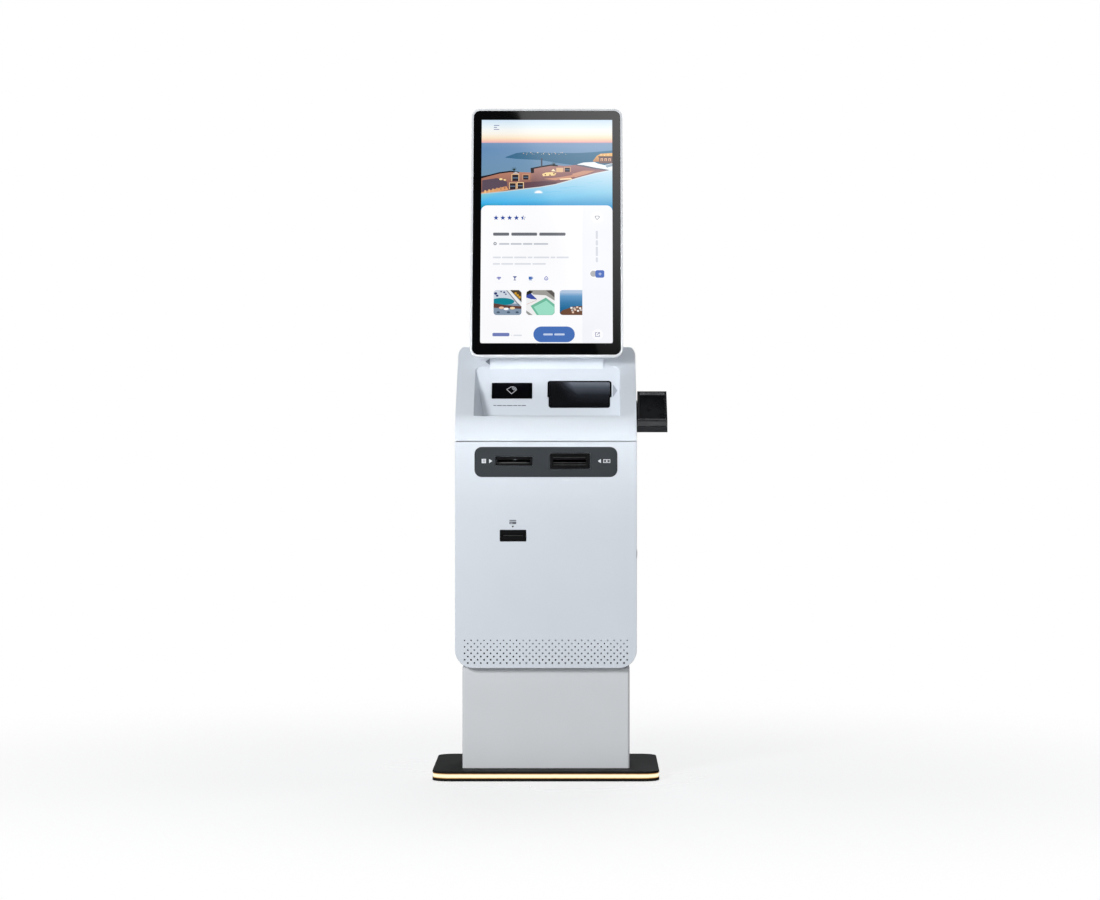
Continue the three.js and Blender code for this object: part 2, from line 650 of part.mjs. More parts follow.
function buildConsole() {
  const { bottom, wall } = CONSOLE;
  const half = BODY.halfWidth;
  const outer = common(
    alongX(consoleProfile(0, bottom), -half, half),
    bodyPlan(0, 800, 1200),
  );
  const core = common(
    alongX(consoleProfile(wall, bottom - 40), -half + wall, half - wall),
    bodyPlan(wall, 780, 1200),
  );
  const hollow = cut(core, recess(wall));
  const { left, right, bottom: nfcBottom, top: nfcTop } = NFC;
  const nfcHole = alongY(roundRect(left, nfcBottom, right, nfcTop, 2, 2, 3), -20, 20);
  const scannerHole = alongY(scannerOutline(0), -20, 20);
  const neckHole = box(
    -NECK.halfWidth - GAP, NECK.halfWidth + GAP, NECK.front - GAP, NECK.front + NECK.depth + GAP,
    NECK.bottom, NECK.top,
  );
  nfcHole.applyMatrix4(panelFrame.matrix);
  scannerHole.applyMatrix4(panelFrame.matrix);
  neckHole.applyMatrix4(screenFrame.matrix);
  const rearHole = box(-140, 140, REAR - 10, REAR + 10, 880, 1040);
  const shell = cut(outer, recess(0), hollow, nfcHole, scannerHole, neckHole, rearHole);
  add('console_shell', shell, MAT.white);
  const cover = alongY(roundRect(-147, 873, 147, 1047, 4, 4, 3), REAR + GAP, REAR + GAP + SHEET);
  add('console_rear_cover', cover, MAT.white);
}

// Reader window, scanner and guide light, in the frame of the steep panel.
function buildPanelDevices() {
  const nfcGlass = roundRect(
    NFC.left + GAP, NFC.bottom + GAP, NFC.right - GAP, NFC.top - GAP, 1.7, 1.7, 3,
  );
  add('nfc_window', alongY(nfcGlass, -0.8, 2.2), MAT.glass, panelFrame);
  add('nfc_reader', box(-130, -45, 3, 18, 53, 95), MAT.plastic, panelFrame);
  const frame = alongY(scannerOutline(GAP), -1, 2.5, [scannerOutline(4)]);
  add('scanner_bezel', frame, MAT.black, panelFrame);
  add('scanner_glass', alongY(scannerOutline(4 + GAP), -0.5, 2), MAT.glass, panelFrame);
  const module = cut(box(30, 140, 3, 28, 30, 96), box(70, 100, 2, 10, 48, 78));
  add('scanner_module', module, MAT.plastic, panelFrame);
  const arrow = [point(168.5, 55), point(180, 74), point(168.5, 92)];
  add('guide_light', alongY(arrow, -1.4, -GAP), MAT.lens, panelFrame);
}

// ---------------------------------------------------------------- payment terminal tray

function buildTray() {
  const { left, right, front, lip, bottom, back } = TRAY;
  const tangent = Math.tan(CONSOLE.slope * DEG);
  const bed = (y, drop) => lip - drop + (y - 6) * tangent;
  const profile = [
    point(front, bottom),
    point(front + 74, bottom),
    point(front + back, bed(back, 42)),
    point(front + back, bed(back, 12)),
    point(front + back - 9, bed(back - 9, 0)),
    point(front + 6, bed(6, 0)),
    point(front + 1.5, lip - 2),
    point(front, lip - 6),
  ];
  const wall = 5;
  const well = [
    point(front + 9, bed(9, 8)),
    point(front + back - 12, bed(back - 12, 8)),
    point(front + back - 12, bed(back - 12, -30)),
    point(front + 9, bed(9, -30)),
  ];
  const tray = cut(alongX(profile, left, right), alongX(well, left + wall, right - wall));
  add('pos_tray', tray, MAT.black);
  const pad = [
    point(front + 13, bed(13, 8 - GAP)),
    point(front + back - 18, bed(back - 18, 8 - GAP)),
    point(front + back - 18, bed(back - 18, 5.5)),
    point(front + 13, bed(13, 5.5)),
  ];
  add('pos_pad', alongX(pad, left + wall + 3, right - wall - 3), MAT.rubber);

  const side = BODY.halfWidth + GAP;
  const base = [
    point(front + 1, bottom - 15.5),
    point(front + 58, bottom - 15.5),
    point(front + 70, bottom - GAP),
    point(front + 1, bottom - GAP),
  ];
  const wing = [
    point(front + 20, bottom - 15.5),
    point(front + 58, bottom - 15.5),
    point(front + 104, 945),
    point(front + 80, 938),
    point(front + 20, 896),
  ];
  add('pos_bracket', join(alongX(base, side, right), alongX(wing, side, side + SHEET)), MAT.fascia);
}

// ---------------------------------------------------------------- neck and screen
function buildNeck() {
  const { halfWidth, front, depth, bottom, top, wall } = NECK;
  const tube = box(-halfWidth, halfWidth, front, front + depth, bottom - 2, top);
  const foot = box(-221, 221, front - 3, front + depth + 6, bottom - 3, bottom);
  const bore = box(
    -halfWidth + wall, halfWidth - wall, front + wall, front + depth - wall, bottom - 10, top - wall,
  );
  add('neck_plate', cut(join(foot, tube), bore), MAT.white, screenFrame);

  const triangle = [point(-halfWidth - GAP, -4), point(-halfWidth - 11, 4), point(-halfWidth - GAP, 12)];
  add('neck_side_cap', alongY(triangle, front - 4, front - GAP), MAT.black, screenFrame);

  const { y, z, lug, pin } = TILT;
  const plateBack = front - GAP;
  const reach = 30;
  const lugs = (x0, x1, plateY) => join(
    alongX(circle(y, z, lug, 16), x0, x1),
    box(x0, x1, Math.min(y, plateY), Math.max(y, plateY), z - lug, z + lug),
  );
  const fixed = join(
    box(-70, 70, plateBack - 2.5, plateBack, z - reach, z + reach),
    lugs(-66, -60, plateBack - 1),
    lugs(60, 66, plateBack - 1),
    alongX(circle(y, z, pin, 16), -66, 66),
  );
  add('tilt_bracket', fixed, MAT.steel, screenFrame);

  const cover = MONITOR_BACK + GAP;
  const moving = cut(
    join(
      box(-56, 56, cover, cover + 2.5, z - reach, z + reach),
      lugs(-59.7, -54, cover + 1),
      lugs(54, 59.7, cover + 1),
    ),
    alongX(circle(y, z, pin + GAP, 16), -80, 80),
  );
  add('monitor_bracket', moving, MAT.steel, screenFrame);
}

function buildMonitor() {
  const { width, height, radius, rim } = SCREEN;
  const outline = (inset, r = radius - inset) => roundRect(
    inset - width / 2, inset, width / 2 - inset, height - inset, Math.max(r, 1), Math.max(r, 1),
  );
  const frameBack = 14;
  const rimRing = alongY(outline(0), 0, frameBack, [outline(rim)]);
  const flange = alongY(outline(2), frameBack - 2.5, frameBack, [outline(30, 6)]);
  add('monitor_frame', join(rimRing, flange), MAT.white, screenFrame);
  add('touch_glass', alongY(outline(rim + GAP), 0.6, 4.6), MAT.glass, screenFrame);
  const lcd = alongY(roundRect(-173, 24, 173, 645, 2, 2, 2), 4.9, 11.2);
  add('lcd_panel', lcd, MAT.plastic, screenFrame);

  const inset = 22;
  const wall = 2.5;
  const shell = alongY(outline(inset, 14), frameBack + GAP, MONITOR_BACK);
  const hollow = alongY(outline(inset + wall, 11.5), frameBack - 1, MONITOR_BACK - wall);
  const slots = [];
  for (let row = 0; row < 8; row += 1) {
    slots.push(box(-90, 90, MONITOR_BACK - 6, MONITOR_BACK + 2, 480 + row * 14, 485 + row * 14));
  }
  add('monitor_rear_cover', cut(shell, hollow, ...slots), MAT.white, screenFrame);
}

buildBase();
buildPedestal();
buildPowerEntry();
buildCabinet();
buildFrontDoor();
buildFrontHinges();
buildLocks();
buildRearDoor();
buildFan();
buildPrinter();
buildNoteAcceptor();
buildCardDispenser();
buildElectronics();
buildConsole();
buildPanelDevices();
buildTray();
buildNeck();
buildMonitor();

export default group;
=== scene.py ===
"""Self-service kiosk: finishes, screen picture, printed marks, small parts, floor, lights and camera."""
import json
import math

import bpy
from mathutils import Matrix, Vector


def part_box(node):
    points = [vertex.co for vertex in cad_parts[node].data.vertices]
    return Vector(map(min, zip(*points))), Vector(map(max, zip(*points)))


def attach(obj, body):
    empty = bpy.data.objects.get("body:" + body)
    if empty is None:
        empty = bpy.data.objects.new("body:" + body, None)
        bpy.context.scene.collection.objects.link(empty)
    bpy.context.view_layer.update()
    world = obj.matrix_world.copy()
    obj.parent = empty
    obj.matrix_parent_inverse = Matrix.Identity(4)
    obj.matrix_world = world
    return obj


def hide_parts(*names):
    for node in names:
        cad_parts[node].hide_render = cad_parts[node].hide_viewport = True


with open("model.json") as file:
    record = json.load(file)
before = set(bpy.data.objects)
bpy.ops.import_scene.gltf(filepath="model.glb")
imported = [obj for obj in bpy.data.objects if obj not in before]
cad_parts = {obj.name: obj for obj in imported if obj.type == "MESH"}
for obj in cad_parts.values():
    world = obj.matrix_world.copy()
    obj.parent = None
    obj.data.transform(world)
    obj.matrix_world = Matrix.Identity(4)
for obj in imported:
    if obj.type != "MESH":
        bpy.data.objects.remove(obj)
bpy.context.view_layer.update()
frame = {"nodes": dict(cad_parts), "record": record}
NODES = frame["nodes"]
MM = 0.001
SCENE = bpy.context.scene
SCENE.view_settings.view_transform = "Standard"

# ---------------------------------------------------------------- camera


def make_camera():
    """Looks straight at the kiosk from 8.7 m, at the height of the console."""
    data = bpy.data.cameras.new("camera")
    data.lens = 111.63
    data.sensor_width = 36
    data.shift_x = -0.02727
    data.shift_y = -0.03636
    data.clip_end = 200
    camera = bpy.data.objects.new("camera", data)
    camera.location = (0.085, -8.676, 0.921)
    camera.rotation_euler = (math.radians(90), 0, 0)
    SCENE.collection.objects.link(camera)
    SCENE.camera = camera


make_camera()

# ---------------------------------------------------------------- colour and shader graphs


def linear(red, green, blue):
    """Linear colour of an sRGB colour given in 0 to 255."""
    channels = []
    for value in (red, green, blue):
        value /= 255
        channels.append(value / 12.92 if value <= 0.04045 else ((value + 0.055) / 1.055) ** 2.4)
    return (*channels, 1.0)


def as_linear(colour):
    """A triple of 0 to 255 made linear; a colour that is linear already stays as it is."""
    return linear(*colour) if len(colour) == 3 else colour


def shaded(colour, factor):
    """A colour made darker or brighter, and no brighter than full."""
    return (*(min(1.0, channel * factor) for channel in as_linear(colour)[:3]), 1.0)


class Graph:
    """Builds the nodes of one material."""

    def __init__(self, name, **values):
        self.material = bpy.data.materials.new(name)
        self.material.use_nodes = True
        self.tree = self.material.node_tree
        self.shader = self.tree.nodes["Principled BSDF"]
        self.object = self.add("ShaderNodeTexCoord").outputs["Object"]
        for socket, value in values.items():
            self.shader.inputs[socket.replace("_", " ")].default_value = value

    def add(self, kind, **settings):
        node = self.tree.nodes.new(kind)
        for key, value in settings.items():
            setattr(node, key, value)
        return node

    def link(self, output, target):
        self.tree.links.new(output, target)

    def to_shader(self, **sockets):
        for socket, output in sockets.items():
            self.link(output, self.shader.inputs[socket.replace("_", " ")])

    def stretched(self, scale):
        mapping = self.add("ShaderNodeMapping")
        mapping.inputs["Scale"].default_value = scale
        self.link(self.object, mapping.inputs["Vector"])
        return mapping.outputs["Vector"]

    def noise(self, scale, detail=2.0, vector=None, soft=0.5):
        node = self.add("ShaderNodeTexNoise")
        node.inputs["Scale"].default_value = scale
        node.inputs["Detail"].default_value = detail
        node.inputs["Roughness"].default_value = soft
        self.link(vector or self.object, node.inputs["Vector"])
        return node.outputs["Fac"]

    def cells(self, scale, output="Distance"):
        node = self.add("ShaderNodeTexVoronoi")
        node.inputs["Scale"].default_value = scale
        self.link(self.object, node.inputs["Vector"])
        return node.outputs[output]

    def axis(self, name):
        split = self.add("ShaderNodeSeparateXYZ")
        self.link(self.object, split.inputs["Vector"])
        return split.outputs[name]

    def math(self, operation, first, second):
        node = self.add("ShaderNodeMath", operation=operation)
        for value, target in ((first, node.inputs[0]), (second, node.inputs[1])):
            if isinstance(value, (int, float)):
                target.default_value = value
            else:
                self.link(value, target)
        return node.outputs["Value"]

    def span(self, value, low, high, start=0.0, end=1.0):
        """Maps start..end of a value to low..high."""
        node = self.add("ShaderNodeMapRange")
        for socket, number in (("From Min", start), ("From Max", end), ("To Min", low), ("To Max", high)):
            node.inputs[socket].default_value = number
        self.link(value, node.inputs["Value"])
        return node.outputs["Result"]

    def ramp(self, value, *stops):
        """A colour ramp from (position, colour) stops."""
        node = self.add("ShaderNodeValToRGB")
        elements = node.color_ramp.elements
        while len(elements) < len(stops):
            elements.new(0.5)
        for element, (position, colour) in zip(elements, stops):
            element.position = position
            element.color = as_linear(colour)
        self.link(value, node.inputs["Fac"])
        return node.outputs["Color"]

    def blend(self, factor, first, second, mode="MIX"):
        node = self.add("ShaderNodeMix", data_type="RGBA", blend_type=mode)
        for value, target in ((factor, node.inputs[0]), (first, node.inputs[6]), (second, node.inputs[7])):
            if isinstance(value, (float, tuple)):
                target.default_value = value
            else:
                self.link(value, target)
        return node.outputs[2]

    def colour(self, base, *shades):
        """Links the base colour: a tone times each of the shades."""
        for shade in shades:
            base = self.blend(1.0, base, shade, "MULTIPLY")
        self.to_shader(Base_Color=base)

    def roughness(self, value, low, high, start=0.0, end=1.0):
        self.to_shader(Roughness=self.span(value, low, high, start, end))

    def bump(self, height, strength, depth):
        node = self.add("ShaderNodeBump")
        node.inputs["Strength"].default_value = strength
        node.inputs["Distance"].default_value = depth
        self.link(height, node.inputs["Height"])
        self.to_shader(Normal=node.outputs["Normal"])


# ---------------------------------------------------------------- materials


def powder_coat(name, colour, rough, peel=700.0, spread=0.025, gloss=0.42):
    """Baked powder paint: a fine orange peel, and a very slight unevenness of tone and gloss."""
    graph = Graph(name, Specular_IOR_Level=gloss)
    broad = graph.noise(3.1, 3.0)
    fine = graph.noise(peel, 2.0)
    tone = graph.ramp(broad, (0.3, shaded(colour, 1 - spread)), (0.7, shaded(colour, 1 + spread)))
    speck = graph.span(graph.noise(peel * 3.3, 1.0), 0.985, 1.015)
    graph.colour(tone, speck)
    handling = graph.math("ADD", graph.math("MULTIPLY", graph.noise(9.0, 4.0), 0.6),
                          graph.math("MULTIPLY", fine, 0.4))
    graph.roughness(handling, rough - 0.06, rough + 0.06, 0.3, 0.7)
    graph.bump(fine, 0.12, 0.00012)
    return graph.material


def moulded_plastic(name, colour, rough, grain=1500.0, gloss=0.4):
    """Injection-moulded plastic with an eroded pebble grain and faint flow marks."""
    graph = Graph(name, Specular_IOR_Level=gloss)
    pebble = graph.cells(grain)
    flow = graph.noise(5.0, 3.0, graph.stretched((1, 1, 4)))
    tone = graph.ramp(flow, (0.3, shaded(colour, 0.88)), (0.7, shaded(colour, 1.14)))
    pits = graph.span(pebble, 1.1, 0.85, 0.0, 0.8)
    graph.colour(tone, pits)
    graph.roughness(graph.noise(40.0, 3.0), rough - 0.07, rough + 0.07, 0.3, 0.7)
    graph.bump(pebble, 0.35, 0.00012)
    return graph.material


def smoked_glass(name, colour, rough, specular):
    """Back-printed black glass with faint wiping marks in its gloss."""
    graph = Graph(name, Base_Color=colour, Specular_IOR_Level=specular)
    wipe = graph.noise(4.0, 5.0, graph.stretched((1, 1, 3)), 0.6)
    graph.roughness(wipe, rough, rough + 0.05, 0.4, 0.75)
    depth = graph.ramp(graph.noise(2.0), (0.3, shaded(colour, 0.8)), (0.7, shaded(colour, 1.2)))
    graph.colour(depth)
    return graph.material


def scanner_window(name):
    """Smoked window of the scanner, with a painted reflection of a light above it: paler towards the upper
    right, black towards the bottom and the left.
    """
    low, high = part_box("scanner_glass")
    centre = (low + high) / 2
    graph = Graph(name, Specular_IOR_Level=0.45)
    across = graph.span(graph.axis("X"), -1.0, 1.0, low.x, high.x)
    up = graph.span(graph.axis("Z"), -1.0, 1.0, low.z, high.z)
    # Painted reflection: a mask that rises towards the top and towards the right, with a slanting left edge.
    slanted = graph.math("ADD", across, graph.math("MULTIPLY", up, 0.25))
    lit = graph.math("MULTIPLY", graph.span(slanted, 0.0, 1.0, -0.55, -0.05),
                     graph.span(up, 0.0, 1.0, -0.75, 1.0))
    painted_reflection = graph.math("ADD", lit, graph.span(graph.noise(30.0, 2.0), -0.03, 0.03))
    graph.colour(graph.ramp(painted_reflection, (0.0, (9, 10, 13)), (0.4, (34, 37, 43)), (0.75, (80, 85, 94)),
                            (1.0, (124, 129, 138))))
    graph.roughness(graph.noise(18.0, 4.0), 0.16, 0.26, 0.3, 0.7)
    graph.bump(graph.noise(2.0 / (high - centre).length), 0.02, 0.0004)
    return graph.material


def lit_strip(name):
    """Opal diffuser: cream in the middle of its height and amber where the plates shade it."""
    low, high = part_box("led_diffuser")
    graph = Graph(name, Base_Color=linear(70, 58, 36), Roughness=0.45, Emission_Strength=1.0)
    height = graph.span(graph.axis("Z"), 0.0, 1.0, low.z, high.z)
    spots = graph.span(graph.noise(60.0, 1.0, graph.stretched((1, 1, 0.01))), -0.03, 0.03)
    glow = graph.ramp(
        graph.math("ADD", height, spots),
        (0.0, (92, 40, 16)), (0.1, (226, 168, 96)), (0.27, (252, 254, 214)),
        (0.73, (253, 255, 222)), (0.9, (226, 168, 96)), (1.0, (80, 34, 14)),
    )
    graph.to_shader(Emission_Color=glow)
    graph.bump(graph.noise(900.0, 2.0), 0.1, 0.0001)
    return graph.material


def brushed_steel(name):
    """Plain steel with short grinding lines and a little oil darkening."""
    graph = Graph(name, Metallic=0.6)
    lines = graph.noise(160.0, 4.0, graph.stretched((1, 1, 18)), 0.7)
    stain = graph.noise(22.0, 3.0)
    shade = graph.ramp(lines, (0.2, (150, 153, 158)), (0.8, (196, 199, 203)))
    graph.colour(shade, graph.span(stain, 0.88, 1.06))
    graph.roughness(lines, 0.28, 0.46, 0.2, 0.8)
    graph.bump(lines, 0.18, 0.00006)
    return graph.material


def zinc_sheet(name):
    """Galvanised sheet: spangled crystals of slightly different brightness."""
    graph = Graph(name, Metallic=0.85)
    spangle = graph.cells(110.0, "Color")
    lift = graph.add("ShaderNodeRGBToBW")
    graph.link(spangle, lift.inputs["Color"])
    tone = graph.ramp(lift.outputs["Val"], (0.1, (158, 163, 168)), (0.9, (196, 200, 204)))
    cloud = graph.span(graph.noise(8.0, 4.0), 0.9, 1.06)
    graph.colour(tone, cloud)
    graph.roughness(lift.outputs["Val"], 0.38, 0.56)
    graph.bump(graph.noise(500.0, 2.0), 0.08, 0.0001)
    return graph.material


def thermal_paper(name):
    """Wound paper roll: smooth on its rim, with the strip's turns showing on its ends."""
    graph = Graph(name, Roughness=0.85, Specular_IOR_Level=0.25)
    turns = graph.add("ShaderNodeTexWave", wave_type="RINGS", rings_direction="X")
    turns.inputs["Scale"].default_value = 260.0
    turns.inputs["Distortion"].default_value = 0.6
    low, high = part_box("paper_roll")
    centred = graph.add("ShaderNodeVectorMath", operation="SUBTRACT")
    centred.inputs[1].default_value = (low + high) / 2
    graph.link(graph.object, centred.inputs[0])
    graph.link(centred.outputs["Vector"], turns.inputs["Vector"])
    tone = graph.ramp(turns.outputs["Fac"], (0.1, (226, 224, 214)), (0.8, (244, 243, 238)))
    fibre = graph.span(graph.noise(700.0, 3.0), 0.96, 1.03)
    graph.colour(tone, fibre)
    graph.bump(turns.outputs["Fac"], 0.15, 0.0001)
    return graph.material


def card_pile(name):
    """Blank plastic cards: one glossy edge line for each card in the pile."""
    graph = Graph(name, Specular_IOR_Level=0.5)
    thickness = 0.00076
    layer = graph.math("FRACT", graph.math("DIVIDE", graph.axis("Z"), thickness), 0.0)
    tone = graph.ramp(layer, (0.0, (150, 155, 166)), (0.12, (232, 236, 243)),
                      (0.9, (238, 241, 247)), (1.0, (160, 165, 176)))
    drift = graph.span(graph.noise(120.0, 2.0, graph.stretched((0.1, 0.1, 10))), 0.95, 1.03)
    graph.colour(tone, drift)
    graph.roughness(graph.noise(60.0, 3.0), 0.24, 0.4, 0.3, 0.7)
    graph.bump(layer, 0.2, 0.0001)
    return graph.material


def matt_rubber(name):
    """Black rubber with a dusty bloom and a fine ground texture."""
    graph = Graph(name, Specular_IOR_Level=0.3)
    bloom = graph.noise(35.0, 5.0)
    tone = graph.ramp(bloom, (0.3, (24, 24, 25)), (0.75, (43, 43, 44)))
    graph.colour(tone)
    graph.roughness(bloom, 0.72, 0.9)
    graph.bump(graph.noise(1400.0, 3.0), 0.3, 0.00012)
    return graph.material


def frosted_lens(name):
    """Etched lens of the guide light, a little clearer towards its tip."""
    low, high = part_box("guide_light")
    graph = Graph(name, Specular_IOR_Level=0.5)
    along = graph.span(graph.axis("X"), 0.0, 1.0, low.x, high.x)
    tone = graph.ramp(along, (0.0, (178, 182, 193)), (1.0, (196, 200, 210)))
    etching = graph.ramp(graph.noise(500.0, 2.0), (0.3, (150, 154, 164)), (0.7, (208, 212, 221)))
    graph.colour(graph.blend(0.15, tone, etching))
    graph.roughness(graph.noise(300.0, 2.0), 0.3, 0.5)
    graph.bump(graph.noise(1800.0, 2.0), 0.2, 0.0001)
    return graph.material


def tinted(graph):
    node = graph.add("ShaderNodeAttribute", attribute_name="tint")
    return node.outputs["Color"]


def display_light(name):
    """Light of the display panel: each point's own colour, with the panel's slightly uneven glow."""
    graph = Graph(name, Base_Color=linear(6, 7, 9), Specular_IOR_Level=0.3, Emission_Strength=1.0)
    rows = graph.math("FRACT", graph.math("MULTIPLY", graph.axis("Z"), 1 / (0.6 * MM)), 0.0)
    lines = graph.span(rows, 0.985, 1.0)
    cloud = graph.span(graph.noise(5.0, 2.0), 0.97, 1.02, 0.3, 0.7)
    even = graph.math("MULTIPLY", lines, cloud)
    graph.to_shader(Emission_Color=graph.blend(1.0, tinted(graph), even, "MULTIPLY"))
    graph.roughness(graph.noise(4.0, 5.0), 0.06, 0.12, 0.4, 0.75)
    return graph.material


def screen_ink(name):
    """Silk-screened ink: each mark's own colour, with the mesh's slight mottling."""
    graph = Graph(name, Specular_IOR_Level=0.35)
    mottle = graph.span(graph.noise(1300.0, 2.0), 0.93, 1.04)
    graph.colour(tinted(graph), mottle)
    graph.roughness(graph.noise(80.0, 2.0), 0.4, 0.58)
    graph.bump(graph.noise(2200.0, 1.0), 0.1, 0.00005)
    return graph.material


MATERIALS = {
    "white_paint": powder_coat("white_paint", (234, 239, 245), 0.4),
    # grey_paint is darker and less blue than white_paint: partly the pedestal's own paint, partly painted
    # shade where the pedestal stands back under the cabinet.
    "grey_paint": powder_coat("grey_paint", (230, 231, 232), 0.46),
    "base_paint": powder_coat("base_paint", (34, 34, 33), 0.5, 1100.0, 0.08, 0.03),
    "fascia": powder_coat("fascia", (60, 64, 67), 0.48, 1300.0, 0.04, 0.12),
    "black_plastic": moulded_plastic("black_plastic", (9, 9, 11), 0.42, gloss=0.07),
    "black_glass": smoked_glass("black_glass", linear(2, 2, 3), 0.02, 0.3),
    "led_strip": lit_strip("led_strip"),
    "steel": brushed_steel("steel"),
    "zinc_sheet": zinc_sheet("zinc_sheet"),
    "module_plastic": moulded_plastic("module_plastic", (44, 46, 50), 0.55, 1100.0),
    "paper": thermal_paper("paper"),
    "card": card_pile("card"),
    "rubber": matt_rubber("rubber"),
    "lens": frosted_lens("lens"),
}
READER_WINDOW = smoked_glass("reader_window", linear(5, 6, 9), 0.2, 0.12)
SCANNER_WINDOW = scanner_window("scanner_window")
DISPLAY = display_light("display_light")
INK = screen_ink("screen_ink")
SPECIAL = {
    "nfc_window": READER_WINDOW,
    "scanner_glass": SCANNER_WINDOW,
    "pos_bracket": powder_coat("tray_paint", (36, 37, 39), 0.5, 1300.0, 0.05, 0.1),
    "pos_pad": moulded_plastic("pad_plastic", (9, 10, 13), 0.3, 1700.0, 0.2),
    "pos_tray": moulded_plastic("tray_plastic", (15, 15, 18), 0.3, 1700.0, 0.4),
    "neck_side_cap": powder_coat("cap_paint", (128, 133, 142), 0.5, 1300.0, 0.04, 0.3),
    "monitor_frame": powder_coat("frame_paint", (250, 251, 253), 0.36, 900.0, 0.01),
}

# ---------------------------------------------------------------- mesh helpers


def smoothing_group():
    """Geometry nodes that shade smoothly, except across edges sharper than 32 degrees."""
    group = bpy.data.node_groups.new("smooth_by_angle", "GeometryNodeTree")
    for way in ("INPUT", "OUTPUT"):
        group.interface.new_socket("Geometry", in_out=way, socket_type="NodeSocketGeometry")
    start = group.nodes.new("NodeGroupInput")
    end = group.nodes.new("NodeGroupOutput")
    faces = group.nodes.new("GeometryNodeSetShadeSmooth")
    edges = group.nodes.new("GeometryNodeSetShadeSmooth")
    edges.domain = "EDGE"
    edges.inputs["Shade Smooth"].default_value = False
    turn = group.nodes.new("GeometryNodeInputMeshEdgeAngle")
    sharp = group.nodes.new("FunctionNodeCompare")
    sharp.data_type = "FLOAT"
    sharp.operation = "GREATER_THAN"
    sharp.inputs[1].default_value = math.radians(32)
    links = group.links
    links.new(turn.outputs["Unsigned Angle"], sharp.inputs[0])
    links.new(sharp.outputs["Result"], edges.inputs["Selection"])
    links.new(start.outputs[0], faces.inputs["Geometry"])
    links.new(faces.outputs["Geometry"], edges.inputs["Geometry"])
    links.new(edges.outputs["Geometry"], end.inputs[0])
    return group


SMOOTHING = smoothing_group()


def bevel_edges(obj, width, segments=2):
    bevel = obj.modifiers.new("bevel", "BEVEL")
    bevel.width = width * MM
    bevel.segments = segments
    bevel.limit_method = "ANGLE"
    bevel.angle_limit = math.radians(34)
    return bevel


def round_edges(obj, width, segments=2):
    """Joins the coplanar faces and rounds the sharp edges, without touching the mesh itself."""
    weld = obj.modifiers.new("weld", "WELD")
    weld.merge_threshold = 1e-5
    merge = obj.modifiers.new("merge", "DECIMATE")
    merge.decimate_type = "DISSOLVE"
    merge.angle_limit = math.radians(0.5)
    bevel = bevel_edges(obj, width, segments)
    bevel.use_clamp_overlap = False
    bevel.loop_slide = False
    bevel.miter_outer = "MITER_ARC"


def smooth(obj):
    """Shades an object smoothly by angle, with normals weighted by the size of its faces."""
    shading = obj.modifiers.new("smooth", "NODES")
    shading.node_group = SMOOTHING
    weighted = obj.modifiers.new("weighted", "WEIGHTED_NORMAL")
    weighted.keep_sharp = True


def new_mesh(name, points, faces):
    mesh = bpy.data.meshes.new(name)
    mesh.from_pydata(points, [], faces)
    return mesh


def new_object(name, mesh, material, body, matrix=None):
    """Links a piece, gives it its finish and lets it ride on its body."""
    obj = bpy.data.objects.new(name, mesh)
    SCENE.collection.objects.link(obj)
    if matrix is not None:
        obj.matrix_world = matrix
    obj.data.materials.clear()
    obj.data.materials.append(material)
    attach(obj, body)
    return obj


def settle(obj):
    """Applies an object's modifiers to its own mesh."""
    bpy.context.view_layer.update()
    graph = bpy.context.evaluated_depsgraph_get()
    mesh = bpy.data.meshes.new_from_object(obj.evaluated_get(graph))
    obj.modifiers.clear()
    obj.data = mesh


def leaning(y, z, degrees):
    """Frame of a face that leans back: x across, z up the face, y into the kiosk."""
    return Matrix.Translation((0, y * MM, z * MM)) @ Matrix.Rotation(-math.radians(degrees), 4, "X")


SCREEN_FRAME = leaning(-46, 1056, 15)
PANEL_FRAME = leaning(-58, 906, 30)
UPRIGHT = Matrix.Identity(4)

BLANK = (0, 0, 0, 1)  # tint of a relief that is only cut with, or whose finish reads no tint

# ---------------------------------------------------------------- outlines, in millimetres


def arc(x, z, radius, start, end, steps=8, squash=1.0):
    """Points from one angle to another, in degrees; squash is the height of a flattened arc."""
    points = []
    for i in range(steps + 1):
        angle = math.radians(start + (end - start) * i / steps)
        points.append((x + radius * math.cos(angle), z + squash * radius * math.sin(angle)))
    return points


def disc(x, z, radius, steps=24, squash=1.0):
    return arc(x, z, radius, 0, 360, steps, squash)[:-1]


def rounded(x0, z0, x1, z1, lower, upper=None, steps=6):
    """A rectangle with one radius for its lower corners and one for its upper corners."""
    upper = lower if upper is None else upper
    points = []
    for x, z, radius, start in (
        (x1 - lower, z0 + lower, lower, 270), (x1 - upper, z1 - upper, upper, 0),
        (x0 + upper, z1 - upper, upper, 90), (x0 + lower, z0 + lower, lower, 180),
    ):
        points += arc(x, z, radius, start, start + 90, steps) if radius > 0 else [(x, z)]
    return points


def star(x, z, radius, half=False):
    """A five-pointed star, or its left half."""
    points = []
    for i in range(10):
        angle = math.radians(90 + 36 * i)
        reach = radius if i % 2 == 0 else radius * 0.45
        points.append((x + reach * math.cos(angle), z + reach * math.sin(angle)))
    return points[:6] if half else points


def stroke(points, width, closed=False):
    """Quads along a line, one for each stretch, with their ends overlapping at the corners."""
    pairs = list(zip(points, points[1:] + points[:1])) if closed else list(zip(points, points[1:]))
    quads = []
    for (x0, z0), (x1, z1) in pairs:
        length = math.hypot(x1 - x0, z1 - z0)
        ux, uz = (x1 - x0) / length, (z1 - z0) / length
        reach = width / 2
        a0, c0 = x0 - ux * reach * 0.6, z0 - uz * reach * 0.6
        a1, c1 = x1 + ux * reach * 0.6, z1 + uz * reach * 0.6
        quads.append([
            (a0 + uz * reach, c0 - ux * reach), (a1 + uz * reach, c1 - ux * reach),
            (a1 - uz * reach, c1 + ux * reach), (a0 - uz * reach, c0 + ux * reach),
        ])
    return quads


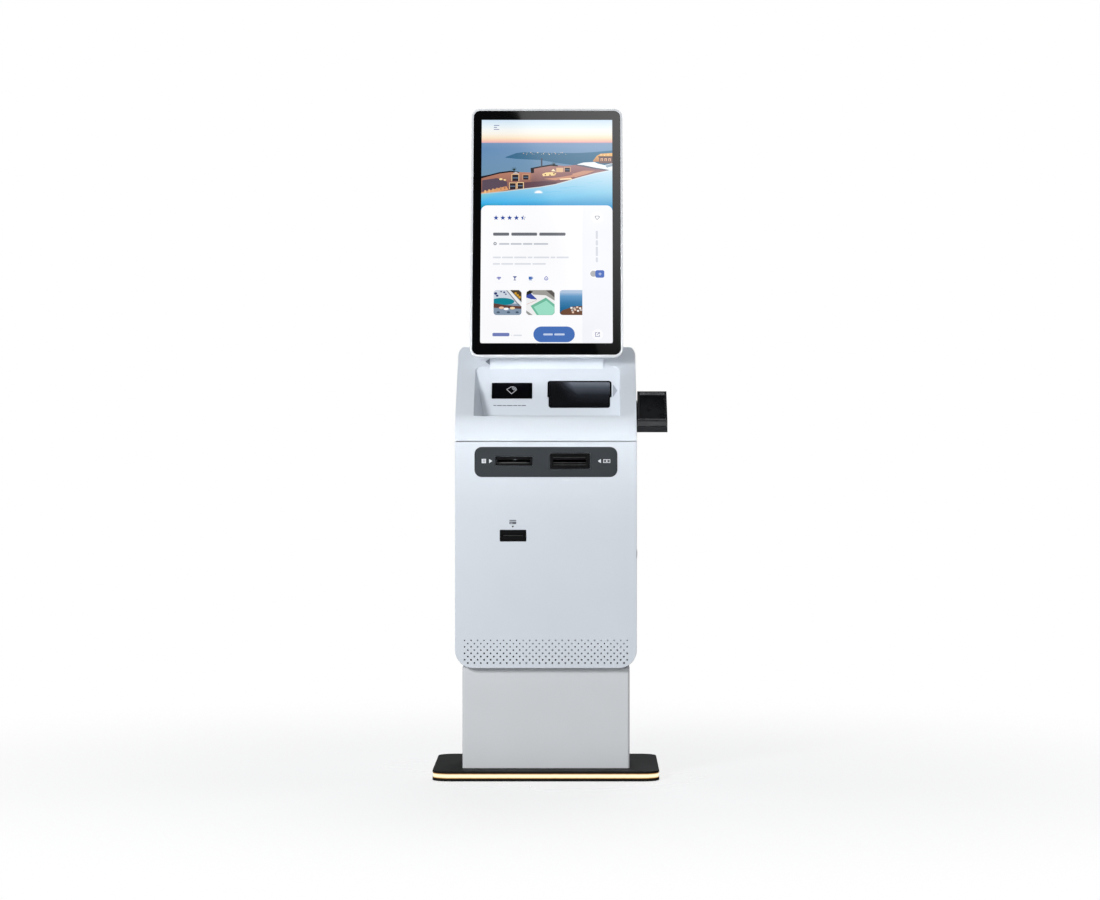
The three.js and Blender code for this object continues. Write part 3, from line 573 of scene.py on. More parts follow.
def ring(x, z, outer, inner, start=0.0, end=360.0, steps=24):
    """A band between two arcs, as one outline for each step of the arc."""
    quads = []
    for i in range(steps):
        a = math.radians(start + (end - start) * i / steps)
        b = math.radians(start + (end - start) * (i + 1) / steps)
        quads.append([
            (x + inner * math.cos(a), z + inner * math.sin(a)),
            (x + outer * math.cos(a), z + outer * math.sin(a)),
            (x + outer * math.cos(b), z + outer * math.sin(b)),
            (x + inner * math.cos(b), z + inner * math.sin(b)),
        ])
    return quads


def anticlockwise(outline):
    area = 0.0
    for (x0, z0), (x1, z1) in zip(outline, outline[1:] + outline[:1]):
        area += x0 * z1 - x1 * z0
    return outline if area > 0 else outline[::-1]


class Relief:
    """Thin closed prisms in one mesh: each is an outline (x, z) with its front face at some y."""

    def __init__(self, thick=0.05):
        self.thick = thick
        self.points = []
        self.faces = []
        self.tints = []

    def prism(self, outline, level, tint, thick=None):
        """A closed form with this outline, and with its front face at the level."""
        outline = anticlockwise(outline)
        first, count = len(self.points), len(outline)
        for y in (level, level + (thick or self.thick)):
            self.points += [(x * MM, y * MM, z * MM) for x, z in outline]
            self.tints += [as_linear(tint)] * count
        self.faces.append(list(range(first, first + count)))
        self.faces.append(list(range(first + 2 * count - 1, first + count - 1, -1)))
        for i in range(count):
            j = (i + 1) % count
            self.faces.append([first + i, first + count + i, first + count + j, first + j])

    def prisms(self, outlines, level, tint):
        for outline in outlines:
            self.prism(outline, level, tint)

    def curtain(self, top, bottom, level, top_tints, bottom_tints):
        """A strip between two lines of points, whose colour runs from one line to the other."""
        first, count = len(self.points), len(top)
        for y in (level, level + self.thick):
            for line, tints in ((top, top_tints), (bottom, bottom_tints)):
                self.points += [(x * MM, y * MM, z * MM) for x, z in line]
                self.tints += [as_linear(tint) for tint in tints]
        back = 2 * count
        for i in range(count - 1):
            a, b, c, d = first + count + i, first + count + i + 1, first + i + 1, first + i
            self.faces += [[a, b, c, d], [a + back, d + back, c + back, b + back]]
            self.faces += [[a, a + back, b + back, b], [c, c + back, d + back, d]]
        left, right = first, first + count - 1
        self.faces.append([left, left + back, left + count + back, left + count])
        self.faces.append([right + count, right + count + back, right + back, right])

    def build(self, name, material, body, matrix):
        mesh = new_mesh(name, self.points, self.faces)
        layer = mesh.color_attributes.new("tint", "FLOAT_COLOR", "POINT")
        for item, tint in zip(layer.data, self.tints):
            item.color = tint
        return new_object(name, mesh, material, body, matrix)


# ---------------------------------------------------------------- the CAD nodes' finish

ROUNDING = {
    "cabinet_shell": 0.5, "rear_door": 0.5, "console_shell": 1.1, "console_rear_cover": 0.5,
    "neck_plate": 0.8, "monitor_frame": 1.2, "monitor_rear_cover": 1.0, "pedestal_shell": 0.5,
    "pedestal_rear_panel": 0.5, "base_plate_lower": 0.6, "base_plate_upper": 0.9,
    "led_diffuser": 0.6, "fascia_plate": 0.35, "pos_tray": 0.7, "pos_bracket": 0.6, "pos_pad": 0.6,
    "touch_glass": 0.4, "scanner_glass": 0.3, "nfc_window": 0.3, "cash_box": 1.2,
    "card_bezel": 0.5, "note_bezel": 0.5, "receipt_bezel": 0.5, "note_acceptor": 1.0,
    "receipt_printer": 0.5, "card_stack": 0.3, "industrial_pc": 0.4, "power_supply": 0.4,
    "rocker_switch": 0.4, "power_inlet": 0.3, "guide_light": 0.2, "fan_rotor": 0.2,
}


def finish_nodes():
    """Gives each CAD node its material, rounded edges and clean shading."""
    for part in frame["record"]["subparts"]:
        node = part["node"]
        slot = part["material_slot"]
        material = SPECIAL.get(node) or MATERIALS.get(slot) or MATERIALS["module_plastic"]
        obj = NODES[node]
        for entry in obj.material_slots:
            entry.material = material
        round_edges(obj, ROUNDING.get(node, 0.3))
        smooth(obj)


finish_nodes()

# ---------------------------------------------------------------- front door with its vent


VENT = {"rows": 8, "top": 346.9, "bottom": 290.4, "reach": 202.6, "count": 26, "small": 1.75, "large": 2.45}


def cut(obj, relief, matrix):
    """Cuts a relief's forms out of a piece."""
    cutter = bpy.data.objects.new("cutter", new_mesh("cutter", relief.points, relief.faces))
    cutter.matrix_world = matrix
    SCENE.collection.objects.link(cutter)
    holes = obj.modifiers.new("holes", "BOOLEAN")
    holes.operation = "DIFFERENCE"
    holes.solver = "EXACT"
    holes.use_self = True
    holes.object = cutter
    settle(obj)
    bpy.data.objects.remove(cutter)
    for polygon in obj.data.polygons:
        polygon.material_index = 0
    smooth(obj)


def vent_pegs():
    """One peg for each hole of the vent, whose rows stagger and grow towards the bottom."""
    pegs = Relief(thick=8)
    for row in range(VENT["rows"]):
        share = row / (VENT["rows"] - 1)
        z = VENT["top"] + (VENT["bottom"] - VENT["top"]) * share
        radius = VENT["small"] + (VENT["large"] - VENT["small"]) * share
        pitch = 2 * VENT["reach"] / (VENT["count"] - 1)
        count = VENT["count"] - row % 2
        for i in range(count):
            x = (i - (count - 1) / 2) * pitch
            pegs.prism(disc(x, z, radius, 14), -180, BLANK)
    return pegs


def make_front_door():
    """The CAD door's own skin with rounded edges, and the vent cut through it."""
    mesh = NODES["front_door"].data.copy()
    door = new_object("front_door_skin", mesh, MATERIALS["white_paint"], "front_door")
    round_edges(door, 1.3, 3)
    settle(door)
    cut(door, vent_pegs(), UPRIGHT)
    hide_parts("front_door")


make_front_door()


def make_screen_cover():
    """The pan behind the screen: rounded edges, a hollow inside and louvres cut through its back."""
    to_screen = SCREEN_FRAME.inverted()
    corners = [to_screen @ vertex.co / MM for vertex in NODES["monitor_rear_cover"].data.vertices]
    x1, z0, z1 = max(c.x for c in corners), min(c.z for c in corners), max(c.z for c in corners)
    front, back = min(c.y for c in corners), max(c.y for c in corners)
    wall, radius = 2.5, 14
    pan = Relief()
    pan.prism(rounded(-x1, z0, x1, z1, radius), front, BLANK, back - front)
    cover = pan.build("screen_cover_skin", MATERIALS["white_paint"], "monitor", SCREEN_FRAME)
    round_edges(cover, 1.6, 3)
    settle(cover)
    inside = Relief()
    inside.prism(rounded(wall - x1, z0 + wall, x1 - wall, z1 - wall, radius - wall), front - 1, BLANK,
                 back - wall - front + 1)
    louvres, lowest, pitch, tall, reach = 8, 480, 14, 5, 90
    for z in range(lowest, lowest + pitch * louvres, pitch):
        inside.prism(rounded(-reach, z, reach, z + tall, 2.3), back - 6, BLANK, 8)
    cut(cover, inside, SCREEN_FRAME)
    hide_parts("monitor_rear_cover")


make_screen_cover()

# ---------------------------------------------------------------- the picture on the screen

LIT = {"left": -168.0, "right": 168.0, "bottom": 35.7, "top": 634.6}
WIDTH = LIT["right"] - LIT["left"]
HEIGHT = LIT["top"] - LIT["bottom"]
LEVEL = 0.52  # y of the lowest layer's front face; the glass starts at 0.6
STEP = 0.03  # each layer stands this much in front of the one below
PICTURE_END = 232.0  # where the white card covers the picture
POOL_END = 250.0
STRIP = 259.0  # left edge of the pale strip at the right of the card
THUMBNAIL_TOP = 458.5
THUMBNAIL_HEIGHT = 66.3
CORNER = 7.6  # corner radius of the thumbnails

WHITE = (253, 253, 255)
GREY_TEXT = (196, 200, 208)
PALE_TEXT = (222, 225, 232)
DARK_TEXT = (110, 112, 120)
STAR = (50, 78, 158)
BUTTON = (72, 113, 184)
GLYPH = (66, 84, 150)
VIOLET = (96, 108, 188)


def mix(first, second, share):
    return tuple(a + (b - a) * share for a, b in zip(as_linear(first), as_linear(second)))


def lines(*columns):
    """The upper and the lower line of (across, top, bottom) columns."""
    return [(across, top) for across, top, _ in columns], [(across, low) for across, _, low in columns]


class Sheet:
    """Draws in layers from a corner on the lit area: across is to the right, and down is down."""

    def __init__(self, relief, left=0.0, top=0.0):
        self.relief = relief
        self.left = left
        self.top = top

    def at(self, across, down):
        return (LIT["left"] + self.left + across, LIT["top"] - self.top - down)

    def form(self, index, tint, *outlines):
        """Outlines in the face's own x and z."""
        self.relief.prisms(outlines, LEVEL - STEP * index, tint)

    def shape(self, index, tint, *points):
        self.form(index, tint, [self.at(*point) for point in points])

    def panel(self, index, tint, left, top, right, bottom, lower=0.0, upper=None, steps=6):
        x0, z1 = self.at(left, top)
        x1, z0 = self.at(right, bottom)
        self.form(index, tint, rounded(x0, z0, x1, z1, lower, upper, steps))

    def dot(self, index, tint, across, down, radius, steps=24, squash=1.0):
        self.form(index, tint, disc(*self.at(across, down), radius, steps, squash))

    def line(self, index, tint, width, *points):
        self.form(index, tint, *stroke([self.at(*point) for point in points], width))

    def curtain(self, index, top, bottom, top_tints, bottom_tints):
        upper, lower = ([self.at(*point) for point in line] for line in (top, bottom))
        self.relief.curtain(upper, lower, LEVEL - STEP * index, top_tints, bottom_tints)

    def sweep(self, index, top, bottom, upper, lower):
        """A curtain whose colour runs from left to right between each line's two tints."""
        shares = [i / (len(top) - 1) for i in range(len(top))]
        self.curtain(index, top, bottom, [mix(*upper, share) for share in shares],
                     [mix(*lower, share) for share in shares])

    def band(self, index, right, *stops):
        """Bands from the left edge, whose colour runs through the (down, colour) stops."""
        for (down0, tint0), (down1, tint1) in zip(stops, stops[1:]):
            self.curtain(index, *lines((0, down0, down1), (right, down0, down1)), [tint0] * 2, [tint1] * 2)

    def words(self, index, tint, left, middle, height, gap, *lengths):
        """A line of unreadable text: one rounded bar for each word."""
        for length in lengths:
            self.panel(index, tint, left, middle - height / 2, left + length, middle + height / 2,
                       height * 0.3, steps=3)
            left += length + gap

    def seat(self, index, frame_tint, left, top, wide, tall):
        """A chair or table seen from afar: a dark gap inside a lit frame with a cushion."""
        self.panel(index, (44, 34, 44), left, top, left + wide, top + tall)
        self.line(index + 1, frame_tint, 2.0, (left, top + tall), (left, top), (left + wide, top),
                  (left + wide, top + tall))
        self.panel(index + 1, (96, 118, 142), left + 2, top + tall * 0.45, left + wide - 2, top + tall * 0.62)


def draw_coast(sheet):
    """Evening sky, sea and a dark headland with the lights of its villages."""
    sheet.band(1, WIDTH, (0, (210, 229, 247)), (16, (232, 243, 248)), (27, (247, 248, 246)),
               (38, (253, 247, 236)), (49, (253, 234, 204)), (57, (251, 201, 182)), (62.5, (224, 174, 186)))
    # The sea's upper rows run paler towards the right: partly the picture's own colour, partly a painted
    # reflection of the sheen on the screen's glass.
    rows = (
        (62, (118, 152, 190), (146, 170, 198)), (78, (104, 143, 186), (137, 167, 198)),
        (110, (108, 147, 182), (122, 154, 184)), (160, (112, 148, 176), (112, 148, 176)),
    )
    for (down0, *tints0), (down1, *tints1) in zip(rows, rows[1:]):
        sheet.sweep(1, *lines(*((WIDTH * i / 8, down0, down1) for i in range(9))), tints0, tints1)
    headland = lines((62, 101, 103), (72, 97, 104), (90, 90, 106), (108, 88, 107), (150, 89, 109),
                     (200, 90, 118), (245, 90, 124), (284, 88, 126), (336, 83, 128))
    sheet.sweep(2, *headland, ((50, 100, 136), (84, 128, 156)), ((58, 108, 142), (70, 116, 146)))
    for i in range(20):
        across = 108 + i * 5.6 + 2.2 * math.sin(i * 2.4)
        down = 91 + 2.8 * math.sin(i * 1.7)
        glow = mix((222, 190, 178), (255, 240, 205), (i * 7 % 5) / 4)
        sheet.dot(3, glow, across, down, 0.8 + 0.5 * (i % 3 == 0), 6)


def draw_house(sheet):
    """A lit hillside, a low house and a white roof at the right."""
    sheet.sweep(4, [(286, 112), (296, 98), (306, 92), (322, 91), (336, 90)],
                [(290, 114), (300, 114), (310, 114), (322, 114), (336, 114)],
                ((226, 170, 110), (250, 200, 128)), ((170, 124, 100), (214, 158, 112)))
    sheet.panel(5, (124, 100, 98), 302, 101, WIDTH, 118)
    sheet.panel(6, (84, 78, 88), 300, 99, WIDTH, 102)
    for i in range(3):
        left = 306 + i * 10
        sheet.panel(6, (236, 190, 158), left, 104.5, left + 6, 112)
        sheet.panel(7, (104, 76, 74), left + 2, 106.5, left + 4, 112)
    for i in range(3):
        sheet.dot(6, (255, 240, 196), 307 + 9 * i, 95 + i % 2, 1.7, 8, 0.7)
    sheet.shape(7, (246, 252, 254), (245, 121), (262, 116), (290, 114.5), (299, 119), (316, 123),
                (WIDTH, 118), (WIDTH, 137), (322, 135), (284, 129))
    sheet.shape(8, (158, 176, 190), (318, 124), (WIDTH, 119), (WIDTH, 126), (322, 130))
    sheet.shape(8, (110, 112, 126), (244, 121.5), (262, 123), (288, 129), (326, 135.5), (326, 138),
                (286, 132.5), (244, 124))


def draw_terrace(sheet):
    """The dark terrace with its lamplight, two groups of seats, a low wall, a statue and shrubs."""
    ink = (30, 26, 34)
    slate = (168, 126, 128)
    sheet.sweep(3, *lines((0, 157, 203), (20, 152, 200), (46, 146, 197), (78, 141, 192), (128, 143, 187)),
                ((176, 118, 96), (190, 134, 112)), ((128, 88, 88), (92, 62, 72)))
    middle = lines((128, 131, 187), (150, 127, 184), (184, 123, 178), (215, 125, 168), (245, 122, 158))
    sheet.sweep(3, *middle, ((186, 138, 126), slate), ((88, 60, 70), (140, 96, 96)))
    sheet.sweep(3, *lines((245, 122, 158), (270, 126, 152), (300, 132, 144.5), (326, 137, 139)),
                (slate, (150, 122, 132)), ((140, 96, 96), (176, 140, 140)))
    sheet.shape(4, (206, 156, 134), (232, 147), (262, 138), (292, 138), (270, 147), (240, 156))
    sheet.shape(4, (92, 76, 90), (2, 164), (40, 158), (66, 168), (66, 180), (2, 194))
    sheet.shape(4, (98, 68, 78), (108, 170), (160, 166), (196, 168), (188, 177), (128, 186), (110, 188))
    sheet.shape(5, (222, 158, 108), (0, 197), (64, 180), (70, 190), (0, 202))
    for i in range(6):
        sheet.panel(6, mix((246, 196, 132), (150, 96, 84), i / 6), 8 + i * 10, 191 - 2.2 * i,
                    12 + i * 10, 199 - 2.2 * i, 0.6, steps=2)
    sheet.shape(6, ink, (0, 153), (20, 149), (46, 142), (76, 138), (96, 141), (96, 144.5), (76, 142),
                (46, 146), (20, 153), (0, 159))
    sheet.shape(6, ink, (126, 131), (150, 126), (178, 121), (196, 123), (196, 126.5), (178, 125),
                (152, 129.5), (135, 133), (135, 144), (127, 145))
    sheet.panel(7, (72, 74, 88), 152.6, 107, 156.4, 127, 1.4, steps=3)
    sheet.dot(8, (86, 86, 98), 154.4, 106.5, 2.3, 10)
    for across, down in ((84, 136), (186, 122)):
        for turn in (-64, -34, -4, 26, 56):
            tip = (across + 9 * math.sin(math.radians(turn)), down - 9 * math.cos(math.radians(turn)))
            sheet.shape(8, (34, 52, 50), (across - 1.6, down + 2), tip, (across + 1.6, down + 2))
    wood = (232, 192, 146)
    sheet.seat(7, wood, 78, 148, 18, 18)
    sheet.seat(7, (206, 158, 124), 106, 149, 16, 13)
    sheet.seat(8, wood, 72, 171, 17, 17)
    sheet.seat(8, (244, 206, 156), 92, 170, 16, 16)
    sheet.shape(9, (206, 196, 196), (80, 146), (88, 141), (98, 146))
    sheet.panel(7, (232, 192, 150), 192, 130, 210, 142, 1, steps=3)
    sheet.seat(7, (214, 170, 142), 213, 129, 15, 12)
    sheet.shape(7, (255, 222, 158), (156, 147), (166, 143), (182, 142), (192, 145), (188, 151), (158, 153))
    sheet.shape(8, (255, 240, 200), (179, 139), (184, 133), (191, 140))
    for across, down in ((164, 149), (176, 150), (186, 146)):
        sheet.dot(8, (120, 82, 70), across, down, 2.1, 8)
    for across, down, size in ((50, 161, 4.4), (60, 163, 3.2), (165, 145, 2.6), (230, 160, 2.4)):
        sheet.dot(9, (255, 228, 160), across, down, size, 12, 0.6)
    sheet.shape(8, (255, 226, 182), (200, 160), (230, 157.5), (232, 161.5), (202, 163))
    sheet.shape(5, (206, 148, 122), (160, 160), (200, 156), (232, 150), (262, 148), (232, 156), (190, 164))


def draw_pool(sheet):
    """The pool's curved edge across the foot of the picture."""
    edge = [(0, 202), (56, 196), (112, 188.5), (150, 184), (189, 177), (220, 168), (250, 158.5), (292, 147),
            (336, 137.7)]
    rim = [(across, down - 2.6) for across, down in edge]
    sheet.sweep(10, rim, edge, ((206, 196, 190), (236, 244, 248)), ((178, 200, 208), (226, 240, 246)))
    shares = [across / WIDTH for across, _ in edge]
    upper = [(104 + 108 * share, 192 + 42 * share, 232 + 14 * share) for share in shares]
    middle = [(60 + 96 * share, 176 + 36 * share, 234 + 2 * share) for share in shares]
    lower = [(6 + 40 * share, 140 + 12 * share, 204 + 2 * share) for share in shares]
    upper[0] = (128, 204, 214)
    lower[0] = (36, 144, 158)
    half = [(across, (down + POOL_END) / 2) for across, down in edge]
    floor = [(across, POOL_END - 12) for across, _ in edge]
    sheet.curtain(10, edge, half, upper, middle)
    sheet.curtain(10, half, floor, middle, lower)
    sheet.panel(10, lower[3], 0, POOL_END - 12, WIDTH, POOL_END)
    for i in range(7):
        across = 170 + i * 22
        down = 196 - i * 4.6 + 3 * math.sin(i * 2.0)
        shine = mix((120, 200, 238), (172, 222, 238), i / 7)
        sheet.dot(11, shine, across, down, 12 + 3 * math.sin(i), 14, 0.1)
    glow = sheet.at(146.6, 199)
    sheet.form(11, (180, 222, 244), arc(*glow, 12, 0, 180, 12, 0.75))
    sheet.form(12, WHITE, arc(*glow, 9, 0, 180, 12, 0.75))


def draw_card(sheet):
    """The white card over the picture's foot, with stars, text bars and a button."""
    sheet.panel(12, WHITE, 0, PICTURE_END, WIDTH, HEIGHT, 4, 15)
    right, top = sheet.at(WIDTH, PICTURE_END)
    strip = [sheet.at(STRIP, PICTURE_END + 0.4), sheet.at(STRIP, HEIGHT)]
    strip += arc(right - 4, LIT["bottom"] + 4, 3.6, 270, 360, 4) + arc(right - 15, top - 15, 14.6, 0, 90, 6)
    sheet.form(13, (245, 246, 252), strip)
    for i in range(5):
        sheet.form(13, STAR, star(*sheet.at(38.2 + 17.4 * i, 265.4), 7.0))
    x, z = sheet.at(38.2 + 17.4 * 4, 265.4)
    sheet.form(14, WHITE, [(2 * x - px, pz) for px, pz in star(x, z, 5.2, half=True)])
    sheet.words(13, DARK_TEXT, 31, 309.2, 8.2, 5.5, 41, 66, 67)
    sheet.dot(13, (150, 154, 164), 36.2, 334.6, 4.4, 16)
    sheet.dot(14, WHITE, 36.2, 334.6, 1.7, 12)
    sheet.words(13, GREY_TEXT, 46.6, 335.4, 4.6, 3.4, 26, 28, 24, 37)
    sheet.words(13, PALE_TEXT, 31, 371.5, 4.4, 3.2, 20, 28, 31, 12, 40, 12, 31)
    sheet.words(13, PALE_TEXT, 31, 388.8, 4.4, 3.6, 18, 30, 42, 34)
    sheet.words(13, (112, 126, 184), 31, 576.4, 9, 3, 43)
    sheet.words(13, PALE_TEXT, 79, 578.5, 3.6, 3.4, 2, 21)
    sheet.panel(13, BUTTON, 134.8, 555, 239.8, 596.5, 20.6, steps=10)
    sheet.words(14, (196, 210, 236), 160, 576, 5.0, 4, 24, 26)


def draw_icons(sheet):
    """Four service pictograms, each in a very pale round button."""
    places = [sheet.at(across, 426.7) for across in (46.6, 87.1, 127.7, 167)]
    for x, z in places:
        sheet.form(13, (247, 248, 252), disc(x, z - 1.0, 12.0))
        sheet.form(14, WHITE, disc(x, z, 11.4))
    x, z = places[0]
    sheet.form(15, (104, 112, 190), [(x, z - 4.6)] + arc(x, z - 4.6, 8.2, 40, 140, 10))
    sheet.form(16, WHITE, *ring(x, z - 4.6, 5.4, 4.6, 40, 140, 8))
    x, z = places[1]
    sheet.form(15, GLYPH, [(x - 5.4, z + 5), (x, z - 1.4), (x + 5.4, z + 5)],
               rounded(x - 1.0, z - 5, x + 1.0, z, 0), rounded(x - 3.4, z - 6, x + 3.4, z - 4.4, 0.4))
    x, z = places[2]
    sheet.form(15, BUTTON, rounded(x - 5.4, z - 4.4, x + 3, z + 4, 2.6, 0.4, 4),
               *ring(x + 3.0, z + 0.6, 3.2, 1.7, -90, 90, 8),
               rounded(x - 5.0, z - 6.2, x + 3.4, z - 5.2, 0.4))
    x, z = places[3]
    for size, index, tint in ((1.0, 15, VIOLET), (0.66, 16, WHITE)):
        sheet.form(index, tint, arc(x, z - 1.2, 5.0 * size, 160, 380, 12) + [(x, z - 1.2 + 7.2 * size)])
    sheet.form(17, VIOLET, disc(x, z - 2.0, 1.5, 10))


def draw_pool_view(view, right=71, bottom=THUMBNAIL_HEIGHT):
    """First small picture: a round pool on a terrace beside a slanting white wall."""
    view.panel(13, (132, 150, 170), 0, 0, right, bottom, CORNER)
    view.panel(14, (206, 214, 226), 0, 0, right, 36, 0, CORNER)
    view.shape(15, (74, 60, 44), (42, 0), (right - 7, 0), (right, 7), (right, 32))
    for i in range(3):
        view.dot(16, (206, 152, 44), 56 + 5 * i, 9 + 5 * i, 3.4, 9)
    view.shape(17, (238, 238, 236), (34, 0), (41, 0), (right, 36), (right, 44))
    view.shape(17, (112, 116, 126), (32, 1), (34.6, 1), (right - 4, 42), (right - 7, 42))
    edge = view.at(0.3, 0)[0]
    water = disc(*view.at(22, 30.5), 31, 28, 0.31)
    view.form(16, (14, 130, 146), [(max(x, edge), z) for x, z in water])
    for across, down, size in ((5, 9, 4.4), (9, 15, 3.6), (27, 6, 3.0), (19, 4, 2.4), (31, 11, 2.4)):
        view.dot(15, (48, 60, 110), across, down, size, 7, 0.8)
    view.shape(18, (98, 62, 54), (0, 35), (30, 40), (right, 43), (right, 50), (0, 47))
    for across, down, tint in ((20, 47, (240, 190, 162)), (32, 50, WHITE), (48, 48, (246, 214, 168))):
        view.dot(19, tint, across, down, 6.6, 12, 0.5)
    for across in (12, 38, 60):
        view.dot(19, (70, 88, 108), across, 59, 4.6, 8, 0.6)


def draw_deck_view(view, right=72, bottom=THUMBNAIL_HEIGHT):
    """Second small picture: a square mint pool set slantwise in a white deck."""
    view.panel(13, (240, 240, 240), 0, 0, right, bottom, CORNER)
    view.shape(14, (158, 156, 150), (CORNER, 0), (right - CORNER, 0), (right, 7), (right, 28), (50, 14),
               (18, 12))
    view.shape(15, (92, 88, 86), (50, 1), (right - 8, 1), (right, 9), (right, 20))
    view.shape(15, (38, 38, 30), (1, 5), (8, 1), (17, 4), (10, 12), (0, 14))
    view.shape(16, (58, 76, 160), (0, 14), (12, 9), (28, 25), (12, 24), (0, 20))
    view.shape(15, (112, 186, 158), (50, 20), (right, 38), (right, bottom - 6), (right - 6, bottom),
               (27, bottom), (11, 42))
    view.shape(16, (156, 222, 198), (51, 28), (right - 1, 45), (right - 1, bottom - 7),
               (right - 7, bottom - 1), (32, bottom - 1), (19, 45))
    view.shape(15, (150, 152, 150), (0, 54), (14, bottom - 2), (16, bottom), (6, bottom), (0, bottom - 6))
    view.line(17, (214, 178, 176), 1.2, (1, 38), (26, 27))


def draw_bay_view(view, bottom=THUMBNAIL_HEIGHT):
    """Third small picture, cut by the strip: deep water below a village on a brown hill."""
    right = STRIP - view.left
    deep = (20, 96, 138)
    view.panel(12.5, (176, 197, 222), 0, 0, right + 12, bottom, CORNER)  # below the strip's edge
    view.band(14, right, (CORNER, (160, 188, 218)), (16, (98, 153, 198)), (32, (60, 124, 172)),
              (50, (22, 104, 150)), (58.7, deep))
    view.panel(13, deep, 0, 50, right, bottom, CORNER, 0)
    view.shape(15, (108, 72, 52), (1, 60), (8, 53), (20, 49), (32, 44), (right, 42), (right, bottom),
               (CORNER, bottom), (2, bottom - 3))
    for i in range(9):
        across = 27 + (i % 4) * 7.4 + 2 * (i // 4)
        down = 45 + (i // 4) * 6.2 + 1.6 * math.sin(i * 2.3)
        tint = ((244, 240, 234), (196, 188, 184), (232, 200, 176))[i % 3]
        view.panel(16, tint, across, down, min(across + 5.4, right), down + 4.6, 0.6, steps=2)


def draw_strip(sheet):
    """The pale strip at the right: a heart, upright text, a badge and an open-page mark."""
    x, z = sheet.at(297, 264.7)
    sheet.form(14, WHITE, disc(x, z, 15.2))
    for size, index, tint in ((1.0, 15, (128, 132, 146)), (0.7, 16, WHITE)):
        lobes = arc(x + 2.9 * size, z + 1.6 * size, 3.4 * size, -25, 150, 8)
        lobes += arc(x - 2.9 * size, z + 1.6 * size, 3.4 * size, 30, 205, 8)
        sheet.form(index, tint, lobes + [(x, z - 6.6 * size)])
    down = 300
    for length in (22, 14, 25, 13):
        sheet.panel(14, (216, 219, 226), 293.2, down, 298.6, down + length, 2.0, steps=3)
        down += length + 3.4
    sheet.panel(14, WHITE, 277.3, 403, 316.6, 427, 11.8, steps=8)
    sheet.dot(15, (176, 178, 182), 287.2, 415, 8.2)
    sheet.panel(16, (72, 108, 188), 292, 405.5, 315, 425.7, 5)
    x, z = sheet.at(304, 415.6)
    plus = stroke([(x - 3.4, z), (x + 3.4, z)], 1.6) + stroke([(x, z - 3.4), (x, z + 3.4)], 1.6)
    sheet.form(17, (214, 224, 244), *plus)
    x, z = sheet.at(297.4, 576)
    mark = (104, 110, 156)
    sheet.form(14, WHITE, disc(x, z, 14.4))
    page = [(x - 0.6, z + 5), (x - 5, z + 5), (x - 5, z - 5.4), (x + 5, z - 5.4), (x + 5, z - 1)]
    sheet.form(15, mark, *stroke(page, 1.3))
    sheet.form(16, mark, *stroke([(x - 0.8, z - 1), (x + 4.6, z + 4.6)], 1.3))
    sheet.form(17, mark, [(x + 1.4, z + 5.6), (x + 5.8, z + 5.6), (x + 5.8, z + 1.2)])


def make_screen_picture():
    """A hotel page of the kind that such a kiosk shows, with bars in place of its text."""
    relief = Relief()
    sheet = Sheet(relief)
    sheet.panel(0, WHITE, 0, 0, WIDTH, HEIGHT, 4)
    for draw in (draw_coast, draw_house, draw_terrace, draw_pool, draw_card, draw_icons):
        draw(sheet)
    for draw, left in ((draw_pool_view, 33.4), (draw_deck_view, 116.4), (draw_bay_view, 201.6)):
        draw(Sheet(relief, left, THUMBNAIL_TOP))
    draw_strip(sheet)
    for i in range(3):
        sheet.panel(2, (104, 116, 164), 31, 14 + i * 5.4, 45 - 6 * (i % 2), 15.8 + i * 5.4)
    relief.build("screen_picture", DISPLAY, "monitor", SCREEN_FRAME)


make_screen_picture()

# ---------------------------------------------------------------- printed marks

PRINT_WHITE = (238, 240, 242)
PRINT_GREY = (104, 107, 114)
PRINT_BLACK = (28, 30, 34)
FASCIA_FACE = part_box("fascia_plate")[0].y / MM
DOOR_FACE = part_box("front_door")[0].y / MM


def make_fascia_marks():
    """A receipt and an arrow left of the receipt mouth, a note and an arrow right of the note mouth."""
    marks = Relief(thick=0.1)
    level = FASCIA_FACE - 0.08
    z = 793.8
    paper = [(-160, z + 5.4), (-160, z - 4.6)]
    paper += [(-158.2 + 1.8 * i, z - (5.8 if i % 2 == 0 else 4.6)) for i in range(5)] + [(-149.2, z - 4.6)]
    paper += [(-149.2, z + 5.4)]
    marks.prism(paper, level, PRINT_WHITE)
    for i in range(3):
        bar = rounded(-157.6, z + 2.6 - 2.6 * i, -151.6, z + 3.5 - 2.6 * i, 0)
        marks.prism(bar, level - 0.05, (62, 66, 69))
    marks.prism([(-141.5, z - 5.2), (-133.5, z), (-141.5, z + 5.2)], level, PRINT_WHITE)
    marks.prism([(137.2, z - 5.2), (137.2, z + 5.2), (129.2, z)], level, PRINT_WHITE)
    marks.prism(rounded(143, z - 4.4, 160.4, z + 4.4, 1), level, PRINT_WHITE)
    marks.prism(rounded(144.3, z - 3.1, 159.1, z + 3.1, 0.4), level - 0.04, (62, 66, 69))
    marks.prism(disc(151.7, z, 2.1, 16), level - 0.08, PRINT_WHITE)
    for x in (146.6, 156.8):
        marks.prism(disc(x, z, 0.7, 8), level - 0.08, PRINT_WHITE)
    marks.build("fascia_marks", INK, "front_door", UPRIGHT)


